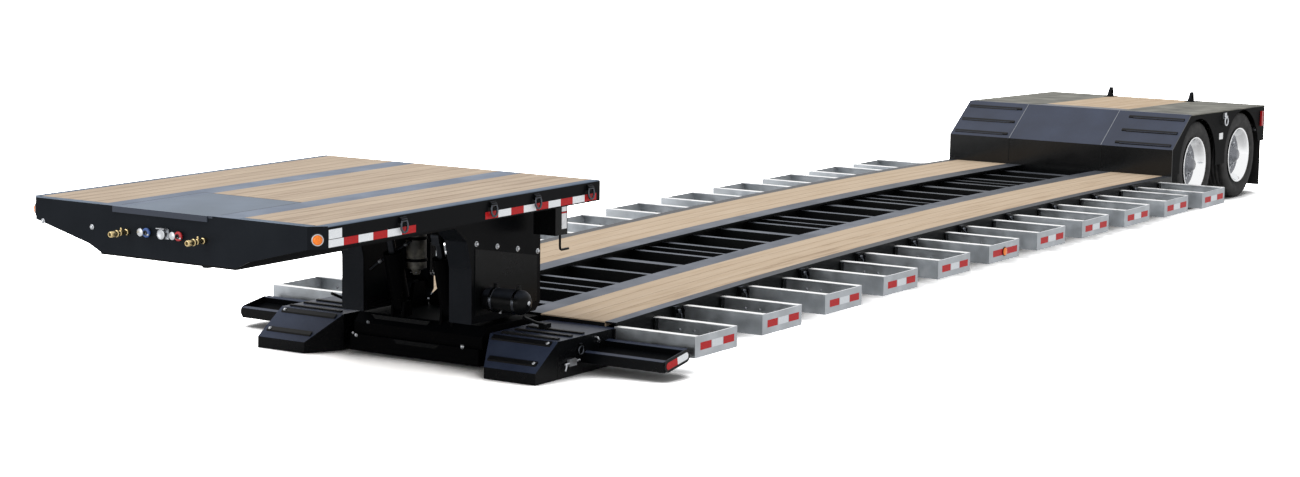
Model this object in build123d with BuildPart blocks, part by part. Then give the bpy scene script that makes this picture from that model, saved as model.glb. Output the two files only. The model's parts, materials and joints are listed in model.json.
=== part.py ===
"""Detachable gooseneck lowboy trailer, parked on its front ramps and its eight tyres.

Millimetres. +X runs to the nose, +Y to the trailer's left and +Z up. The origin lies on
the floor, below the middle of the trailer. Distances named ..._from_nose, and the first
number of each outline point, are counted rearward from the nose.
"""

import os
from math import sqrt

from build123d import *

os.makedirs("parts", exist_ok=True)

# ---------------------------------------------------------------- driving dimensions
half_width = 1295.0
deck_length = 10410.0
slope_run = 468.0
rear_deck_length = 2119.0
seam = 0.4
seat_clearance = 0.3
pin_clearance = 0.08
board_gap = 6.0

# Neck frame
neck_length = 3200.0
neck_top = 1402.0
neck_rail_depth = 150.0
neck_rail_width = 75.0
neck_edge_radius = 14.0
neck_front_strip = 80.0
nose_chamfer = 94.0
nose_plate_thickness = 12.0
nose_skirt_drop = 275.0
nose_skirt_y = 710.0
nose_box_half_width = 600.0
neck_board_thickness = 35.0
neck_boards_per_panel = 5
neck_bearer_count = 5
neck_bearer_thickness = 12.0
neck_bearer_rise = 40.0
lip_plate_length = 900.0
lip_plate_thickness = 15.0
lip_drop = 40.0
lip_span = (-480.0, 360.0)
lip_thickness = 10.0
neck_tie_width = 80.0
neck_tie_depth = 200.0

# Swan-neck beams
beam_inner = 400.0
beam_width = 205.0
beam_underside = 1075.0
beam_wall = 14.0
riser_front = neck_length - 640.0
riser_rear = neck_length + 225.0
riser_bottom = 345.0
riser_heel = 60.0
riser_bend_height = 750.0
riser_bend_reach = 200.0
riser_top_rear = 1100.0
riser_shoulder = 150.0
pivot_from_nose = neck_length
pivot_height = 430.0
pivot_radius = 40.0
pivot_boss_radius = 75.0

# Fittings on the neck
control_box_rise = 40.0
control_box_height = 340.0
control_box_length = 155.0
control_box_inner = 700.0
control_box_outer = 900.0
oil_tank_from_nose = neck_length - 320.0
oil_tank_y = -150.0
oil_tank_radius = 78.0
oil_tank_foot = 660.0
oil_tank_height = 270.0
air_tank_from_nose = neck_length - 470.0
air_tank_height = 520.0
air_tank_radius = 92.0
air_tank_length = 395.0
tank_arm = 40.0
coupling_height = 1237.0
coupling_reach = 180.0

# Kingpin
kingpin_setback = 393.0
kingpin_plate_thickness = 12.0
kingpin_plate_length = 1150.0
kingpin_shoulder_radius = 36.5
kingpin_neck_radius = 25.4
kingpin_flange_radius = 35.7
kingpin_shoulder = 28.0
kingpin_neck = 34.0
kingpin_flange = 22.0

# Neck base
base_front = neck_length - 500.0
base_rear = neck_length + 210.0
base_half_width = 600.0
base_ledge = 300.0
base_underside = 20.0
base_toe = 70.0
base_step = 50.0
base_step_height = 145.0
jaw_thickness = 50.0
jaw_positions = (-300.0, 0.0, 300.0)
hook_shaft_from_nose = neck_length + 300.0
hook_shaft_height = 170.0
hook_shaft_radius = 45.0
cheek_thickness = 30.0
cheek_clearance = 6.0

# Lift cylinders
cylinder_y = 230.0
cylinder_foot_from_nose = neck_length - 400.0
cylinder_foot_height = 375.0
cylinder_head_from_nose = neck_length - 550.0
cylinder_head_height = 960.0
barrel_radius = 70.0
barrel_length = 430.0
rod_radius = 32.0
rod_clearance = 0.3
cylinder_pin_radius = 22.0
cylinder_eye_radius = 44.0
cylinder_eye_half = 36.0
head_eye_clearance = 6.0
lug_thickness = 20.0
lug_gap = 42.0
head_lug = 45.0
lug_root = 110.0
head_tie_radius = 60.0

# Main deck
deck_front = neck_length + 230.0
deck_height_front = 312.0
deck_height_middle = 437.0
deck_height_rear = 408.0
main_beam_inner = 430.0
main_beam_flange = 180.0
main_beam_depth = 280.0
flange_thickness = 20.0
web_thickness = 12.0
side_rail_width = 100.0
side_rail_depth = 200.0
board_thickness = 38.0
boards_per_side = 4
member_width = 62.0
member_depth = 120.0
member_drop = 45.0
member_thickness = 10.0
first_member = deck_front + 560.0
wide_member_every = 4
wide_member_width = 105.0
slim_member_first = deck_front + 1260.0
slim_member_width = 36.0
bearer_width = 60.0
bearer_depth = 100.0
crossbeam_from_nose = deck_front + 190.0
crossbeam_width = 120.0

# Outriggers
outrigger_count = 11
outrigger_first = deck_front - 27.0
outrigger_pitch = 955.0
outrigger_length = 590.0
outrigger_reach = 708.0
outrigger_depth = 157.0
outrigger_drop = 40.0
outrigger_rail_width = 45.0
outrigger_wall = 8.0
outrigger_end_plate = 12.0
marker_outrigger = 5
marker_radius = 40.0
marker_reach = 16.0

# Front ramps and front frames
ramp_front = deck_front - 1035.0
ramp_nose_height = 85.0
ramp_knee = deck_front - 752.0
ramp_knee_height = 278.0
ramp_inner = 687.0
ramp_inner_front = 839.0
ramp_wall = 12.0
grip_bar_width = 30.0
grip_bar_height = 12.0
grip_inner_inset = 70.0
grip_outer_inset = 40.0
front_frame_from_nose = deck_front - 427.0
front_frame_length = 335.0
front_frame_height = 95.0
front_frame_underside = 85.0
front_frame_rail = 50.0
front_frame_pan = 10.0

# Rear body
rear_face_height = 686.0
rear_deck_front_height = 1018.0
rear_deck_rear_height = 966.0
cover_thickness = 10.0
cover_return = 41.0
cover_strip = 230.0
rear_boards_half_width = 480.0
rear_board_count = 6
rear_beam_inner = 470.0
rear_beam_width = 100.0
rear_beam_underside = 700.0
rear_beam_toe = 60.0
rear_beam_heel = 190.0
rear_member_count = 4
rear_member_width = 80.0
rear_member_depth = 100.0
rear_tail_width = 58.0
rear_tail_depth = 380.0
side_plate_thickness = 10.0
side_plate_underside = 420.0
side_plate_nose = 140.0
side_plate_tail_underside = 576.0
arch_radius = 495.0
ear_from_end = 177.0
ear_y = 490.0
ear_thickness = 30.0
ear_height = 105.0
ear_foot = 85.0
ear_top_front = 0.0
ear_top_rear = 38.0
ear_pad_thickness = 5.0
ear_hole_radius = 24.0
ear_hole_height = 48.0
ear_hole_setback = 8.0
flap_thickness = 10.0
flap_underside = 80.0
flap_inset = 5.0

# Wheels, axles and springs
rear_axle_from_end = 0.309 * rear_deck_length
axle_spacing = 0.584 * rear_deck_length
tyre_radius = 465.0
tyre_width = 255.0
bead_flats = 48
dual_spacing = 330.0
outer_tyre_inset = 24.0
rim_radius = 288.0
rim_wall = 14.0
rim_width = 216.0
disc_thickness = 22.0
hub_radius = 110.0
hub_reach = 95.0
spindle_radius = 45.0
spindle_reach = 60.0
hub_cap_thickness = 20.0
axle_radius = 63.5
spring_y = 520.0
spring_width = 76.0
spring_half = 470.0
spring_seat_half = 120.0
spring_rise = 70.0
spring_leaf = 30.0
hanger_length = 80.0

# ---------------------------------------------------------------- derived values
deck_rear = deck_front + deck_length
rear_deck_front = deck_rear + slope_run
rear_end = rear_deck_front + rear_deck_length
overall_length = coupling_reach + rear_end
second_axle = rear_end - rear_axle_from_end
axles_from_nose = (second_axle - axle_spacing, second_axle)
bead_radius = rim_radius + seat_clearance
outer_tyre_y = half_width - outer_tyre_inset - tyre_width / 2
inner_tyre_y = outer_tyre_y - dual_spacing
disc_y = (outer_tyre_y + inner_tyre_y) / 2
drum_face_y = disc_y - (dual_spacing + rim_width) / 2
outrigger_tip = half_width + outrigger_reach
main_beam_outer = main_beam_inner + main_beam_flange
web_middle = main_beam_inner + main_beam_flange / 2
web_inner = web_middle - web_thickness / 2
web_outer = web_middle + web_thickness / 2
rail_inner = half_width - side_rail_width
beam_outer = beam_inner + beam_width
neck_rail_underside = neck_top - neck_rail_depth
neck_rail_inner = half_width - neck_rail_width
ear_from_nose = rear_end - ear_from_end


def station(distance):
    """X of a point that lies this far behind the nose."""
    return overall_length / 2 - coupling_reach - distance


def circle_through(first, second, third):
    """Centre and radius of the circle through three (x, z) points."""
    (x1, z1), (x2, z2), (x3, z3) = first, second, third
    bend = 2 * (x1 * (z2 - z3) + x2 * (z3 - z1) + x3 * (z1 - z2))
    s1, s2, s3 = x1**2 + z1**2, x2**2 + z2**2, x3**2 + z3**2
    x = (s1 * (z2 - z3) + s2 * (z3 - z1) + s3 * (z1 - z2)) / bend
    z = (s1 * (x3 - x2) + s2 * (x1 - x3) + s3 * (x2 - x1)) / bend
    return x, z, sqrt((x1 - x) ** 2 + (z1 - z) ** 2)


camber_x, camber_z, camber_radius = circle_through(
    (station(deck_front), deck_height_front),
    (station(deck_front + deck_length / 2), deck_height_middle),
    (station(deck_rear), deck_height_rear),
)


def deck_height(distance):
    """Height of the deck's cambered top this far behind the nose."""
    return camber_z + sqrt(camber_radius**2 - (station(distance) - camber_x) ** 2)


def rear_height(distance):
    """Height of the rear deck's sloping top this far behind the nose."""
    fall = (rear_deck_front_height - rear_deck_rear_height) / rear_deck_length
    return rear_deck_front_height - (distance - rear_deck_front) * fall


# ---------------------------------------------------------------- shared operations
def save(piece, name):
    """Label a finished piece and write it to its own file."""
    piece.part.label = name
    export_step(piece.part, f"parts/{name}.step")


def block(x_span, y_span, z_span, mode=Mode.ADD):
    """A box between two values of X, of Y and of Z."""
    spans = (x_span, y_span, z_span)
    with Locations(tuple((low + high) / 2 for low, high in spans)):
        Box(*[abs(high - low) for low, high in spans], mode=mode)


def between(front, rear, y_span, z_span, mode=Mode.ADD):
    """A box between two distances behind the nose."""
    block((station(rear), station(front)), y_span, z_span, mode)


def side_outline(points, outer_y, inner_y, mode=Mode.ADD):
    """An outline of (distance behind the nose, height) points, carried across Y."""
    with BuildSketch(Plane.XZ.offset(-outer_y)) as outline:
        with BuildLine():
            Polyline(*[(station(s), z) for s, z in points], close=True)
        make_face()
    extrude(outline.sketch, amount=outer_y - inner_y, dir=(0, -1, 0), mode=mode)


def end_plane(distance):
    """A plane across the trailer whose sketches read as (y, z)."""
    return Plane(origin=(station(distance), 0, 0), x_dir=(0, 1, 0), z_dir=(1, 0, 0))


def end_outline(points, front, thickness, mode=Mode.ADD):
    """An outline of (y, z) points that faces the nose, carried rearward."""
    with BuildSketch(end_plane(front)) as outline:
        with BuildLine():
            Polyline(*points, close=True)
        make_face()
    extrude(outline.sketch, amount=thickness, dir=(-1, 0, 0), mode=mode)


def cambered_bar(start, end, top, bottom, outer_y, inner_y):
    """A bar that follows the deck between two depths below the deck's top."""
    stations = (start, (start + end) / 2, end)
    upper = [(station(s), deck_height(s) - top) for s in stations]
    lower = [(station(s), deck_height(s) - bottom) for s in reversed(stations)]
    with BuildSketch(Plane.XZ.offset(-outer_y)) as outline:
        with BuildLine():
            ThreePointArc(*upper)
            Line(upper[-1], lower[0])
            ThreePointArc(*lower)
            Line(lower[-1], upper[0])
        make_face()
    extrude(outline.sketch, amount=outer_y - inner_y, dir=(0, -1, 0))


def round_bar(start, end, radius, mode=Mode.ADD):
    """A round bar between two points."""
    run = Vector(*end) - Vector(*start)
    with BuildSketch(Plane(origin=start, z_dir=run)) as disc:
        Circle(radius)
    extrude(disc.sketch, amount=run.length, dir=run, mode=mode)


def across(distance, height, y_span, radius, mode=Mode.ADD):
    """A round bar that lies across the trailer."""
    x = station(distance)
    round_bar((x, y_span[0], height), (x, y_span[1], height), radius, mode)


def add_right_side():
    """Add the mirror image of what the current piece holds so far."""
    mirror(about=Plane.XZ)


# ---------------------------------------------------------------- main deck
with BuildPart() as main_beams:
    start = deck_front + 20
    cambered_bar(start, deck_rear, 0, flange_thickness, main_beam_outer, main_beam_inner)
    cambered_bar(start, deck_rear, flange_thickness, main_beam_depth - flange_thickness,
                 web_outer, web_inner)
    cambered_bar(start, deck_rear, main_beam_depth - flange_thickness, main_beam_depth,
                 main_beam_outer, main_beam_inner)
    add_right_side()
save(main_beams, "main_beams")

with BuildPart() as side_rails:
    cambered_bar(deck_front, deck_rear, 0, web_thickness, half_width, rail_inner)
    cambered_bar(deck_front, deck_rear, 0, side_rail_depth, half_width, half_width - web_thickness)
    cambered_bar(deck_front, deck_rear, side_rail_depth - web_thickness, side_rail_depth,
                 half_width, rail_inner)
    add_right_side()
save(side_rails, "side_rails")

with BuildPart() as deck_boards:
    boards_inner = main_beam_outer + seam
    boards_outer = rail_inner - seam
    board_pitch = (boards_outer - boards_inner + board_gap) / boards_per_side
    for index in range(boards_per_side):
        inner_edge = boards_inner + index * board_pitch
        cambered_bar(deck_front + seam, deck_rear - seam, 0, board_thickness,
                     inner_edge + board_pitch - board_gap, inner_edge)
    add_right_side()
save(deck_boards, "deck_boards")


def cross_member(distance, width):
    """An open channel between the main beams' webs, with its flange on top."""
    top = deck_height(distance) - member_drop
    front, rear = distance - width / 2, distance + width / 2
    between(front, rear, (-web_inner, web_inner), (top - member_thickness, top))
    between(front, front + member_thickness, (-web_inner, web_inner), (top - member_depth, top))


def bearers(distance):
    """Bearers under the boards, between each main beam's web and its side rail."""
    front, rear = distance - bearer_width / 2, distance + bearer_width / 2
    top = min(deck_height(front), deck_height(rear)) - board_thickness - seat_clearance
    for low_y, high_y in ((web_outer, half_width - web_thickness), (web_thickness - half_width, -web_outer)):
        between(front, rear, (low_y, high_y), (top - bearer_depth, top))


with BuildPart() as cross_members:
    member_pitch = outrigger_pitch / 2
    member_count = int((deck_rear - first_member) / member_pitch) + 1
    for index in range(member_count):
        distance = first_member + index * member_pitch
        if distance + wide_member_width < deck_rear:
            cross_member(distance, member_width if index % wide_member_every else wide_member_width)
    for index in range(int((deck_rear - slim_member_first) / (2 * outrigger_pitch)) + 1):
        cross_member(slim_member_first + index * 2 * outrigger_pitch, slim_member_width)
    for index in range(2 * outrigger_count):
        distance = outrigger_first + (index + 0.5) * member_pitch
        if distance + bearer_width < deck_rear:
            bearers(distance)
save(cross_members, "cross_members")

# ---------------------------------------------------------------- outriggers
with BuildPart() as outriggers:
    for index in range(outrigger_count):
        front = outrigger_first + index * outrigger_pitch
        rear = front + outrigger_length
        top = deck_height((front + rear) / 2) - outrigger_drop
        bottom = top - outrigger_depth
        between(front, rear, (outrigger_tip - outrigger_end_plate, outrigger_tip), (bottom, top))
        y_span = (half_width, outrigger_tip - outrigger_end_plate)
        for edge, inward in ((front, 1), (rear, -1)):
            flange = sorted((edge, edge + inward * outrigger_rail_width))
            web = sorted((edge, edge + inward * outrigger_wall))
            between(*flange, y_span, (top - outrigger_wall, top))
            between(*flange, y_span, (bottom, bottom + outrigger_wall))
            between(*web, y_span, (bottom, top))
    add_right_side()
save(outriggers, "outriggers")

with BuildPart() as marker_lamps:
    # a round side marker lamp on the outer end of the middle outrigger
    lamp_from_nose = outrigger_first + marker_outrigger * outrigger_pitch + outrigger_length / 2
    lamp_height = deck_height(lamp_from_nose) - outrigger_drop - outrigger_depth / 2
    across(lamp_from_nose, lamp_height, (outrigger_tip, outrigger_tip + marker_reach), marker_radius)
    add_right_side()
save(marker_lamps, "marker_lamps")

# ---------------------------------------------------------------- front of the deck
ramp_rear_height = deck_height(deck_front) - board_thickness


def ramp_height(distance):
    """Height of the ramp's upper surface this far behind the nose."""
    if distance < ramp_knee:
        start, end = (ramp_front, ramp_nose_height), (ramp_knee, ramp_knee_height)
    else:
        start, end = (ramp_knee, ramp_knee_height), (deck_front, ramp_rear_height)
    return start[1] + (end[1] - start[1]) * (distance - start[0]) / (end[0] - start[0])


def grip_bar(height_at, distance, y_span):
    """A raised bar across a ramp or slope whose surface height_at gives."""
    front, rear = distance - grip_bar_width / 2, distance + grip_bar_width / 2
    side_outline([(front, height_at(front) - 1), (front, height_at(front) + grip_bar_height),
                  (rear, height_at(rear) + grip_bar_height), (rear, height_at(rear) - 1)],
                 y_span[1], y_span[0])


def cut_ramp_corner(inset, height):
    """Cut the ramp's inner front corner back along its slanting side."""
    with BuildSketch(Plane.XY) as corner:
        with BuildLine():
            Polyline((station(ramp_front) + 1, ramp_inner - 1),
                     (station(ramp_front) + 1, ramp_inner_front + inset),
                     (station(ramp_front), ramp_inner_front + inset),
                     (station(ramp_knee), ramp_inner + inset),
                     (station(ramp_knee), ramp_inner - 1), close=True)
        make_face()
    extrude(corner.sketch, amount=height, mode=Mode.SUBTRACT)


with BuildPart() as front_ramps:
    side_outline([(ramp_front, 0), (ramp_front, ramp_nose_height), (ramp_knee, ramp_knee_height),
                  (deck_front, ramp_rear_height), (deck_front, 0)], half_width, ramp_inner)
    ramp_length = deck_front - ramp_knee
    for share in (0.25, 0.87):
        inner_edge = ramp_inner_front + share * (ramp_inner - ramp_inner_front)
        grip_bar(ramp_height, ramp_front + share * (ramp_knee - ramp_front),
                 (inner_edge + grip_bar_width, half_width - grip_outer_inset))
    for share in (0.08, 0.3, 0.5):
        grip_bar(ramp_height, ramp_knee + share * ramp_length,
                 (ramp_inner + grip_inner_inset, half_width - grip_outer_inset))
    cut_ramp_corner(0, ramp_knee_height + 2 * grip_bar_height)
    # open underside, between the side walls and behind the front wall
    side_outline([(ramp_front + ramp_wall, -1), (ramp_front + ramp_wall, ramp_nose_height - ramp_wall),
                  (ramp_knee, ramp_knee_height - 1.3 * ramp_wall),
                  (deck_front - ramp_wall, ramp_rear_height - 1.3 * ramp_wall),
                  (deck_front - ramp_wall, -1)],
                 half_width - ramp_wall, ramp_inner_front + ramp_wall, mode=Mode.SUBTRACT)
    add_right_side()
save(front_ramps, "front_ramps")

with BuildPart() as front_frames:
    frame_end = front_frame_from_nose + front_frame_length
    frame_top = front_frame_underside + front_frame_height
    between(front_frame_from_nose + front_frame_rail, frame_end - front_frame_rail,
            (half_width, outrigger_tip - outrigger_end_plate),
            (front_frame_underside + 3 * front_frame_pan, front_frame_underside + 4 * front_frame_pan))
    for edge in (front_frame_from_nose, frame_end - front_frame_rail):
        between(edge, edge + front_frame_rail, (half_width, outrigger_tip - outrigger_end_plate),
                (front_frame_underside + 6, frame_top - 6))
    middle = (station(front_frame_from_nose + front_frame_length / 2), outrigger_tip,
              front_frame_underside + front_frame_height / 2)
    with BuildSketch(Plane(origin=middle, x_dir=(1, 0, 0), z_dir=(0, -1, 0))) as slotted_end:
        SlotOverall(front_frame_length, front_frame_height)
    extrude(slotted_end.sketch, amount=outrigger_end_plate, dir=(0, -1, 0))
    add_right_side()
save(front_frames, "front_frames")

with BuildPart() as front_crossbeam:
    crossbeam_rear = crossbeam_from_nose + crossbeam_width
    crossbeam_top = deck_height(crossbeam_from_nose) - flange_thickness - 2
    crossbeam_bottom = deck_height(crossbeam_rear) - main_beam_depth + flange_thickness + 2
    between(crossbeam_from_nose, crossbeam_rear, (-web_inner, web_inner),
            (crossbeam_bottom, crossbeam_top))
save(front_crossbeam, "front_crossbeam")

with BuildPart() as hook_shaft:
    across(hook_shaft_from_nose, hook_shaft_height, (-web_inner, web_inner), hook_shaft_radius)
save(hook_shaft, "hook_shaft")

# ---------------------------------------------------------------- rear body
cover_low = deck_height_rear - side_rail_depth
cover_end = rear_deck_front + cover_return
cover_inside = [(deck_rear + cover_thickness, cover_low),
                (deck_rear + cover_thickness, rear_face_height - 4),
                (rear_deck_front + 6, rear_deck_front_height - cover_thickness),
                (cover_end, rear_height(cover_end) - cover_thickness)]


def slope_height(distance):
    """Height of the sloping cover this far behind the nose."""
    rise = (rear_deck_front_height - rear_face_height) / slope_run
    return rear_face_height + (distance - deck_rear) * rise


with BuildPart() as rear_cover:
    side_outline([(deck_rear, cover_low), (deck_rear, rear_face_height),
                  (rear_deck_front, rear_deck_front_height), (cover_end, rear_height(cover_end)),
                  *reversed(cover_inside)], half_width, -half_width)
    strip_start, strip_end = cover_end - 1, rear_deck_front + cover_strip
    side_outline([(strip_start, rear_height(strip_start)), (strip_end, rear_height(strip_end)),
                  (strip_end, rear_height(strip_end) - cover_thickness),
                  (strip_start, rear_height(strip_start) - cover_thickness)],
                 rear_boards_half_width, -rear_boards_half_width)
    grip_inner = main_beam_outer + grip_inner_inset
    grip_outer = half_width - grip_outer_inset
    for share in (0.1, 0.45, 0.83):
        for y_span in ((grip_inner, grip_outer), (-grip_outer, -grip_inner)):
            grip_bar(slope_height, deck_rear + share * slope_run, y_span)
save(rear_cover, "rear_cover")

with BuildPart() as rear_deck_plates:
    start, end = cover_end + seam, rear_end
    side_outline([(start, rear_height(start)), (end, rear_height(end)),
                  (end, rear_height(end) - cover_thickness),
                  (start, rear_height(start) - cover_thickness)], half_width, rear_boards_half_width)
    add_right_side()
save(rear_deck_plates, "rear_deck_plates")

with BuildPart() as rear_deck_boards:
    pitch = (2 * rear_boards_half_width - 2 * seam + board_gap) / rear_board_count
    start, end = strip_end + seam, rear_end - rear_tail_width - seam
    for index in range(rear_board_count):
        inner_edge = -rear_boards_half_width + seam + index * pitch
        side_outline([(start, rear_height(start)), (end, rear_height(end)),
                      (end, rear_height(end) - board_thickness),
                      (start, rear_height(start) - board_thickness)],
                     inner_edge + pitch - board_gap, inner_edge)
save(rear_deck_boards, "rear_deck_boards")

under_plate = [(cover_end, rear_height(cover_end) - cover_thickness - seat_clearance),
               (rear_end, rear_height(rear_end) - cover_thickness - seat_clearance)]
under_cover = [(s, z - seat_clearance) for s, z in cover_inside[:3]]
under_boards = board_thickness - cover_thickness
with BuildPart() as rear_frame:
    beam_face = deck_rear + cover_thickness
    outline = [(beam_face, cover_low), (beam_face, rear_face_height - 5), *under_cover[2:],
               (cover_end, rear_height(cover_end) - board_thickness - seat_clearance),
               (rear_end, rear_height(rear_end) - board_thickness - seat_clearance),
               (rear_end, rear_beam_underside), (deck_rear + rear_beam_heel, rear_beam_underside),
               (deck_rear + rear_beam_toe, cover_low)]
    side_outline(outline, rear_beam_inner + rear_beam_width, rear_beam_inner)
    side_outline(outline, -rear_beam_inner, -rear_beam_inner - rear_beam_width)
    member_step = (rear_deck_length - 2 * rear_tail_width) / rear_member_count
    for index in range(rear_member_count):
        front = rear_deck_front + rear_tail_width + index * member_step
        top = rear_height(front + rear_member_width) - board_thickness - seat_clearance
        between(front, front + rear_member_width, (-rear_beam_inner, rear_beam_inner),
                (top - rear_member_depth, top))
    between(rear_end - rear_tail_width, rear_end, (-half_width, half_width),
            (rear_height(rear_end) - cover_thickness - rear_tail_depth,
             rear_height(rear_end) - cover_thickness - seat_clearance))
save(rear_frame, "rear_frame")

with BuildPart() as rear_side_plates:
    tail = rear_end - rear_tail_width - seam
    side_outline([*under_cover, under_plate[0],
                  (tail, rear_height(tail) - cover_thickness - seat_clearance),
                  (tail, side_plate_tail_underside), (second_axle, side_plate_tail_underside),
                  (second_axle, side_plate_underside),
                  (deck_rear + side_plate_nose, side_plate_underside),
                  (deck_rear + side_plate_nose, cover_low)], half_width, half_width - side_plate_thickness)
    for distance in axles_from_nose:
        across(distance, tyre_radius, (half_width - side_plate_thickness - 1, half_width + 1),
               arch_radius, mode=Mode.SUBTRACT)
    add_right_side()
save(rear_side_plates, "rear_side_plates")

with BuildPart() as rear_ears:
    front, rear = ear_from_nose - ear_foot, ear_from_nose + ear_foot
    pad_half = 1.5 * ear_thickness
    side_outline([(front, rear_height(front)), (front, rear_height(front) + ear_pad_thickness),
                  (rear, rear_height(rear) + ear_pad_thickness), (rear, rear_height(rear))],
                 ear_y + pad_half, ear_y - pad_half)
    ear_base = rear_height(ear_from_nose)
    ear_inset = ear_pad_thickness
    side_outline([(front + 2 * ear_inset, rear_height(front) + ear_inset / 2),
                  (ear_from_nose - ear_top_front, ear_base + ear_height),
                  (ear_from_nose + ear_top_rear, ear_base + ear_height),
                  (ear_from_nose + ear_foot / 1.5, rear_height(rear) + ear_inset / 2)],
                 ear_y + ear_thickness / 2, ear_y - ear_thickness / 2)
    across(ear_from_nose + ear_hole_setback, ear_base + ear_hole_height,
           (ear_y - ear_thickness, ear_y + ear_thickness), ear_hole_radius, mode=Mode.SUBTRACT)
    add_right_side()
save(rear_ears, "rear_ears")

with BuildPart() as mud_flaps:
    flap_rear = rear_end - rear_tail_width
    flap_top = rear_height(rear_end) - cover_thickness - rear_tail_depth / 2
    between(flap_rear - flap_thickness, flap_rear,
            (inner_tyre_y - tyre_width / 2, half_width - side_plate_thickness - flap_inset),
            (flap_underside, flap_top))
    add_right_side()
save(mud_flaps, "mud_flaps")

# ---------------------------------------------------------------- axles and suspension
with BuildPart() as axles:
    for distance in axles_from_nose:
        across(distance, tyre_radius, (-drum_face_y + 3, drum_face_y - 3), axle_radius)
        across(distance, tyre_radius, (-disc_y - spindle_reach, disc_y + spindle_reach), spindle_radius)
save(axles, "axles")

spring_seat = tyre_radius + axle_radius + seat_clearance
spring_end_top = spring_seat + spring_rise + spring_leaf
with BuildPart() as springs:
    for distance in axles_from_nose:
        side_outline([(distance - spring_half, spring_seat + spring_rise),
                      (distance - spring_seat_half, spring_seat),
                      (distance + spring_seat_half, spring_seat),
                      (distance + spring_half, spring_seat + spring_rise),
                      (distance + spring_half, spring_end_top), (distance, spring_seat + 2 * spring_leaf),
                      (distance - spring_half, spring_end_top)],
                     spring_y + spring_width / 2, spring_y - spring_width / 2)
    add_right_side()
save(springs, "springs")

with BuildPart() as spring_hangers:
    first, second = axles_from_nose
    for front, rear in ((first - spring_half, first - spring_half + hanger_length),
                        (first + spring_half - hanger_length, second - spring_half + hanger_length),
                        (second + spring_half - hanger_length, second + spring_half)):
        between(front, rear, (spring_y - spring_width / 2, spring_y + spring_width / 2),
                (spring_end_top + seat_clearance, rear_beam_underside))
    add_right_side()
save(spring_hangers, "spring_hangers")

# ---------------------------------------------------------------- wheels
def flat_sided(middle_y, half):
    """A disc between two values of Y, with the fine flats that tyre and rim meet on."""
    with BuildSketch(Plane.XZ.offset(-middle_y)) as seat:
        RegularPolygon(rim_radius, bead_flats, major_radius=False)
    extrude(seat.sketch, amount=half, both=True)


def tyre(middle_y):
    """One tyre, with a bead seat of fine flats."""
    with BuildPart() as body:
        with BuildSketch(Plane.XZ.offset(-middle_y)):
            Circle(tyre_radius)
            RegularPolygon(bead_radius, bead_flats, major_radius=False, mode=Mode.SUBTRACT)
        extrude(amount=tyre_width / 2, both=True)
    return body.part


def twin_wheel():
    """Two rims back to back, with the hub, its cap and the brake drum."""
    reach = (dual_spacing + rim_width) / 2
    face = disc_y + disc_thickness
    cap = disc_y + hub_reach
    with BuildPart() as body:
        flat_sided(disc_y, reach)
        round_bar((0, face, 0), (0, disc_y + reach + 1, 0), rim_radius - rim_wall, mode=Mode.SUBTRACT)
        round_bar((0, face - 1, 0), (0, cap, 0), hub_radius)
        round_bar((0, disc_y - reach - 1, 0), (0, cap - hub_cap_thickness, 0),
                  spindle_radius + pin_clearance, mode=Mode.SUBTRACT)
    return body.part


one_twin_wheel = twin_wheel()
one_tyre_pair = (tyre(outer_tyre_y), tyre(inner_tyre_y))
for distance, place in zip(axles_from_nose, ("front", "rear")):
    for side, turn in (("left", 0), ("right", 180)):
        centre = Location((station(distance), 0, tyre_radius), (0, 0, turn))
        with BuildPart() as tyres:
            with Locations(centre):
                add(one_tyre_pair)
        save(tyres, f"{place}_{side}_tyres")
        with BuildPart() as wheels:
            with Locations(centre):
                add(one_twin_wheel)
        save(wheels, f"{place}_{side}_wheels")

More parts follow.
